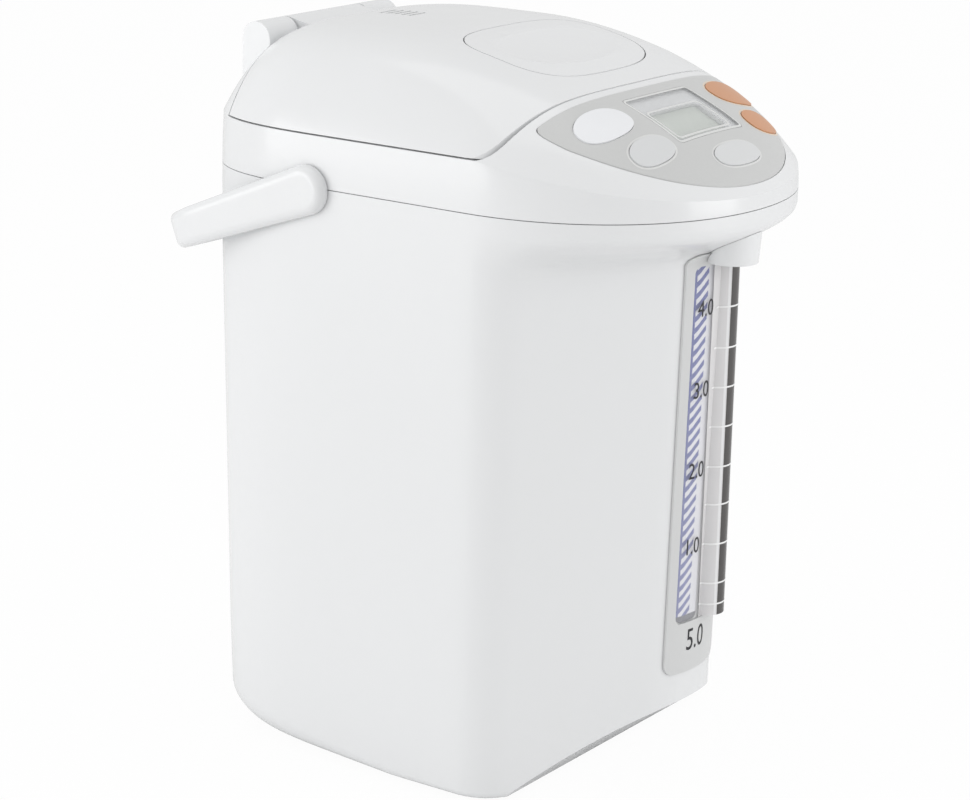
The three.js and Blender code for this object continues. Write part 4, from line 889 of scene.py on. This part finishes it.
room = carve(
    body_form(-2 * GAP - GAUGE_THICK),
    ("*", front_prism(rounded(GAUGE, PLATE_ROUND, GAP), FRONT, 0)),
)
skirt = carve(loft(rings), ("-", loft(bore)), ("-", body_form(-GAP)), ("-", room))
piece(skirt, "smooth_nozzle_skirt", "pot", "nozzle_skirt", bevel=SKIRT_BEVEL)


# Trough behind the sight tube
left, right = TUBE_X - SLOT_X - TROUGH_MORE, TUBE_X + SLOT_X + TROUGH_MORE
foot, top = slot_box[1] - TROUGH_MORE, slot_box[3] + TROUGH_MORE
trough = carve(block((left, TROUGH_FRONT, foot), (right, TROUGH_REAR, top)), ("-", block(
    (left + TROUGH_WALL, FRONT, foot + TROUGH_MORE),
    (right - TROUGH_WALL, TROUGH_REAR - TROUGH_MORE, top - TROUGH_MORE),
)))
piece(trough, "gauge_trough", "pot", look="white_shell")


# Carrying bail, lying tilted on its two studs: its sections follow the arms, the corners and the bowed bar
def bow(x, extra):
    radius = BAR_RADIUS + extra
    return BAR_INNER + extra - radius + math.sqrt(radius * radius - x * x)


def bail_stations():
    """Pairs of an outer and an inner plan point from the left pivot to the middle of the bar"""
    inner, outer = HALF_WIDTH + ARM_GAP, HALF_WIDTH + ARM_GAP + ARM_THICK
    turn, bend, half = outer - BAR_CORNER, BAR_CORNER / 2, ARM_HEIGHT / 2
    inner_turn = inner - bend
    corner, inner_corner = (-outer, bow(outer, BAR_THICK)), (-inner, bow(inner, 0))
    outside, inside = [], []
    for i in range(1, PIVOT_STEPS + 1):
        y = half - ARM_START - half * math.cos(i / PIVOT_STEPS * math.pi / 2)
        outside.append((-outer, y))
        inside.append((-inner, y))
    for i in range(1, ARM_STEPS + 1):
        start, share = half - ARM_START, i / ARM_STEPS
        outside.append((-outer, start + (corner[1] - BAR_CORNER - start) * share))
        inside.append((-inner, start + (inner_corner[1] - bend - start) * share))
    outside += corner_curve(outside[-1], corner, (-turn, bow(turn, BAR_THICK)), BEND_STEPS)
    inside += corner_curve(inside[-1], inner_corner, (-inner_turn, bow(inner_turn, 0)), BEND_STEPS)
    for i in range(1, BAR_STEPS + 1):
        left = 1 - i / BAR_STEPS
        outside.append((-turn * left, bow(turn * left, BAR_THICK)))
        inside.append((-inner_turn * left, bow(inner_turn * left, 0)))
    return list(zip(outside, inside))


def bail_ring(outside, inside):
    """The section at one pair, flat inside and rounded towards its outer edges"""
    half, centre = ARM_HEIGHT / 2, ARM_HEIGHT / 2 - ARM_START
    along = outside[1]
    taper = min(1.0, max(0.0, (along - centre) / (bow(HALF_WIDTH + ARM_GAP, 0) - centre)))
    height = half + (BAR_HEIGHT / 2 - half) * taper
    if along < centre:
        height = math.sqrt(max(0.0, half * half - (centre - along) ** 2))
    thick = math.dist(outside, inside)
    ring = [(*inside, 0), (*inside, height)]
    for i in range(SECTION_STEPS + 1):
        w = height * math.cos(i / SECTION_STEPS * math.pi)
        edge = half - math.hypot(centre - along, w) if along < centre else height - abs(w)
        back = max(0.0, BAIL_ROUND - max(0.0, edge))
        share = (BAIL_ROUND - math.sqrt(BAIL_ROUND ** 2 - back * back)) / thick
        ring.append((*between(outside, inside, share), w))
    return ring + [(*inside, -height)]


def tilted(obj):
    obj.data.transform(
        Matrix.Translation(Vector((0, PIVOT_Y, SEAM)) * MM) @ Matrix.Rotation(-BAIL_DROP, 4, "X")
    )
    return obj


rings = [bail_ring(*pair) for pair in bail_stations()]
rings += [[(-x, y, z) for x, y, z in ring] for ring in reversed(rings[:-1])]
bail = tilted(loft(rings))
for way in (-1, 1):
    near, far = FLANGE_X - 1, HALF_WIDTH + ARM_GAP + ARM_THICK / 2
    carve(
        bail,
        ("+", rod_x(STUD, *sorted((way * near, way * far)), PIVOT_Y, SEAM)),
        ("+", rod_x(FLANGE_R, *sorted((way * (FLANGE_X - 2), way * FLANGE_X)), PIVOT_Y, SEAM)),
    )
piece(bail, "smooth_bail", "handle", "bail")


# Covers over the ends of the hinge
for way, name in ((-1, "hinge_cover_left"), (1, "hinge_cover_right")):
    left, right = sorted((way * (BARREL_X + COVER_GAP), way * COVER_X))
    cap = carve(
        rod_x(BARREL, left, right, HINGE_Y, HINGE_Z),
        ("+", block((left, HINGE_Y - BARREL, RIM), (right, HINGE_Y + BARREL, HINGE_Z))),
        ("-", upper_form(-GAP)),
        ("-", rod_x(PIN_R + GAP, -PIN_REACH - GAP, PIN_REACH + GAP, HINGE_Y, HINGE_Z)),
    )
    piece(cap, "smooth_" + name, "pot", name, bevel=COVER_BEVEL)


# Numbers and lines of the water scale
def nose_face(x, z, out):
    nose_y = (FLANK_REACH - NOSE_RADIUS) / math.cos(FLANK_TURN)
    y = -nose_y - math.sqrt((NOSE_RADIUS + out) ** 2 - x * x)
    depth = max(0.0, (BEAK_ROOT - z) / (BEAK_ROOT - BODY_BOTTOM))
    return y + NOSE_LEAN * depth * (-BEAK_START - y) / (FLANK_REACH - BEAK_START)


def number(text, x, z, height, out):
    curve = bpy.data.curves.new("number", "FONT")
    curve.body = text
    curve.size = height / FIGURE_SHARE
    curve.extrude = FIGURE_THICK
    curve.resolution_u = 4
    holder = bpy.data.objects.new("number", curve)
    bpy.context.collection.objects.link(holder)
    bpy.context.view_layer.update()
    graph = bpy.context.evaluated_depsgraph_get()
    mesh = bpy.data.meshes.new_from_object(holder.evaluated_get(graph))
    bpy.data.objects.remove(holder)
    for corner in mesh.vertices:
        u, v, w = corner.co
        px, pz = x + u * FIGURE_STRETCH, z + v
        corner.co = Vector((px, nose_face(px, pz, out + w + FIGURE_PROUD), pz)) * MM
    obj = bpy.data.objects.new("number", mesh)
    bpy.context.collection.objects.link(obj)
    return obj


for label, x, z in SCALE_NUMBERS:
    figures = number(label, x, z, NUMBER_HEIGHT, GAP + GAUGE_THICK)
    piece(figures, "scale_" + label.replace(".", "_"), "pot", look="ink")
piece(number(*FULL_NUMBER, FULL_HEIGHT, GAP + GAUGE_THICK), "scale_full", "pot", look="ink")
outer = carve(
    body_form(-GAP - GAUGE_THICK - LINE_PROUD),
    ("*", front_prism(rounded((LINE_LEFT, GAUGE[1], TUBE_X, GAUGE[3]), LINE_ROUND), FRONT, 0)),
    ("+", carve(
        post(COVER_R + LINE_PROUD, GAUGE[1], GAUGE[3], TUBE_X, COVER_Y, FINE),
        ("*", block((LINE_LEFT, FRONT, GAUGE[1]), (TUBE_X + COVER_R / 2, 0, GAUGE[3]))),
    )),
    ("-", body_form(-GAP - GAUGE_THICK)),
    ("-", post(COVER_R, 0, SEAM, TUBE_X, COVER_Y, FINE)),
)
slabs = block((-HALF_WIDTH, FRONT, LINE_HEIGHTS[0]), (HALF_WIDTH, 0, LINE_HEIGHTS[0] + LINE_THICK))
for z in LINE_HEIGHTS[1:]:
    carve(slabs, ("+", block((-HALF_WIDTH, FRONT, z), (HALF_WIDTH, 0, z + LINE_THICK))))
piece(carve(outer, ("*", slabs)), "scale_lines", "pot", look="line_white")


# Floor, light and camera
def camera_white(tree, surface, share):
    """The camera sees this much plain white in the surface, while the light falls on the surface itself"""
    plain = tree.nodes.new("ShaderNodeEmission")
    path = tree.nodes.new("ShaderNodeLightPath")
    part = tree.nodes.new("ShaderNodeMath")
    part.operation = "MULTIPLY"
    part.inputs[1].default_value = share
    mix = tree.nodes.new("ShaderNodeMixShader")
    end = next(node for node in tree.nodes if node.type.startswith("OUTPUT"))
    links(
        tree,
        (path.outputs["Is Camera Ray"], part.inputs[0]),
        (part.outputs["Value"], mix.inputs["Fac"]),
        (surface, mix.inputs[1]),
        (plain.outputs["Emission"], mix.inputs[2]),
        (mix.outputs["Shader"], end.inputs["Surface"]),
    )


bpy.ops.mesh.primitive_plane_add(size=FLOOR_SIZE)
floor = bpy.context.object
floor.name = "floor"
ground = finish("studio_white", (0.90, 0.90, 0.90), 0.9, speckle=0.004)
camera_white(ground.node_tree, ground.node_tree.nodes["Principled BSDF"].outputs["BSDF"], FLOOR_WHITE)
floor.data.materials.append(ground)
floor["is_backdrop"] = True

world = bpy.data.worlds.new("studio") if not bpy.context.scene.world else bpy.context.scene.world
bpy.context.scene.world = world
world.use_nodes = True
sky = world.node_tree.nodes["Background"]
sky.inputs["Color"].default_value = (1, 1, 1, 1)
sky.inputs["Strength"].default_value = SKY
camera_white(world.node_tree, sky.outputs["Background"], 1.0)


def area_light(name, place, target, size, power, color=(1, 1, 1)):
    data = bpy.data.lights.new(name, "AREA")
    data.shape = "RECTANGLE"
    data.size, data.size_y = size
    data.energy = power
    data.color = color
    obj = bpy.data.objects.new(name, data)
    bpy.context.collection.objects.link(obj)
    obj.location = place
    obj.rotation_euler = (Vector(target) - Vector(place)).to_track_quat("-Z", "Y").to_euler()
    return obj


CENTRE = (0, 0, 0.18)
area_light("top_light", (0.1, 0.1, 1.7), CENTRE, (1.2, 1.2), 3)
area_light("front_light", (0.6, -1.7, 0.55), CENTRE, (1.0, 1.2), 8)
area_light("left_light", (-1.5, 1.05, 0.55), CENTRE, (1.2, 1.2), 10)

# Camera set to the photograph
CAMERA_AT = Vector((-1.1988, -0.8198, 0.5750))
CAMERA_AZ, CAMERA_EL, CAMERA_ROLL = math.radians(-55.63), math.radians(15.71), math.radians(1.383)
CAMERA_LENS = 111.65
back = Vector((
    math.cos(CAMERA_EL) * math.sin(CAMERA_AZ),
    -math.cos(CAMERA_EL) * math.cos(CAMERA_AZ),
    math.sin(CAMERA_EL),
))
right0 = Vector((math.cos(CAMERA_AZ), math.sin(CAMERA_AZ), 0))
up0 = back.cross(right0)
right = math.cos(CAMERA_ROLL) * right0 + math.sin(CAMERA_ROLL) * up0
up = -math.sin(CAMERA_ROLL) * right0 + math.cos(CAMERA_ROLL) * up0
camera_data = bpy.data.cameras.new("camera")
camera_data.lens = CAMERA_LENS
camera_data.sensor_width = 36
camera_data.sensor_fit = "HORIZONTAL"
camera_data.clip_end = 50
camera = bpy.data.objects.new("camera", camera_data)
bpy.context.collection.objects.link(camera)
camera.matrix_world = Matrix((right, up, back)).transposed().to_4x4()
camera.location = CAMERA_AT
bpy.context.scene.camera = camera
bpy.context.scene.view_settings.view_transform = "Standard"

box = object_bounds()
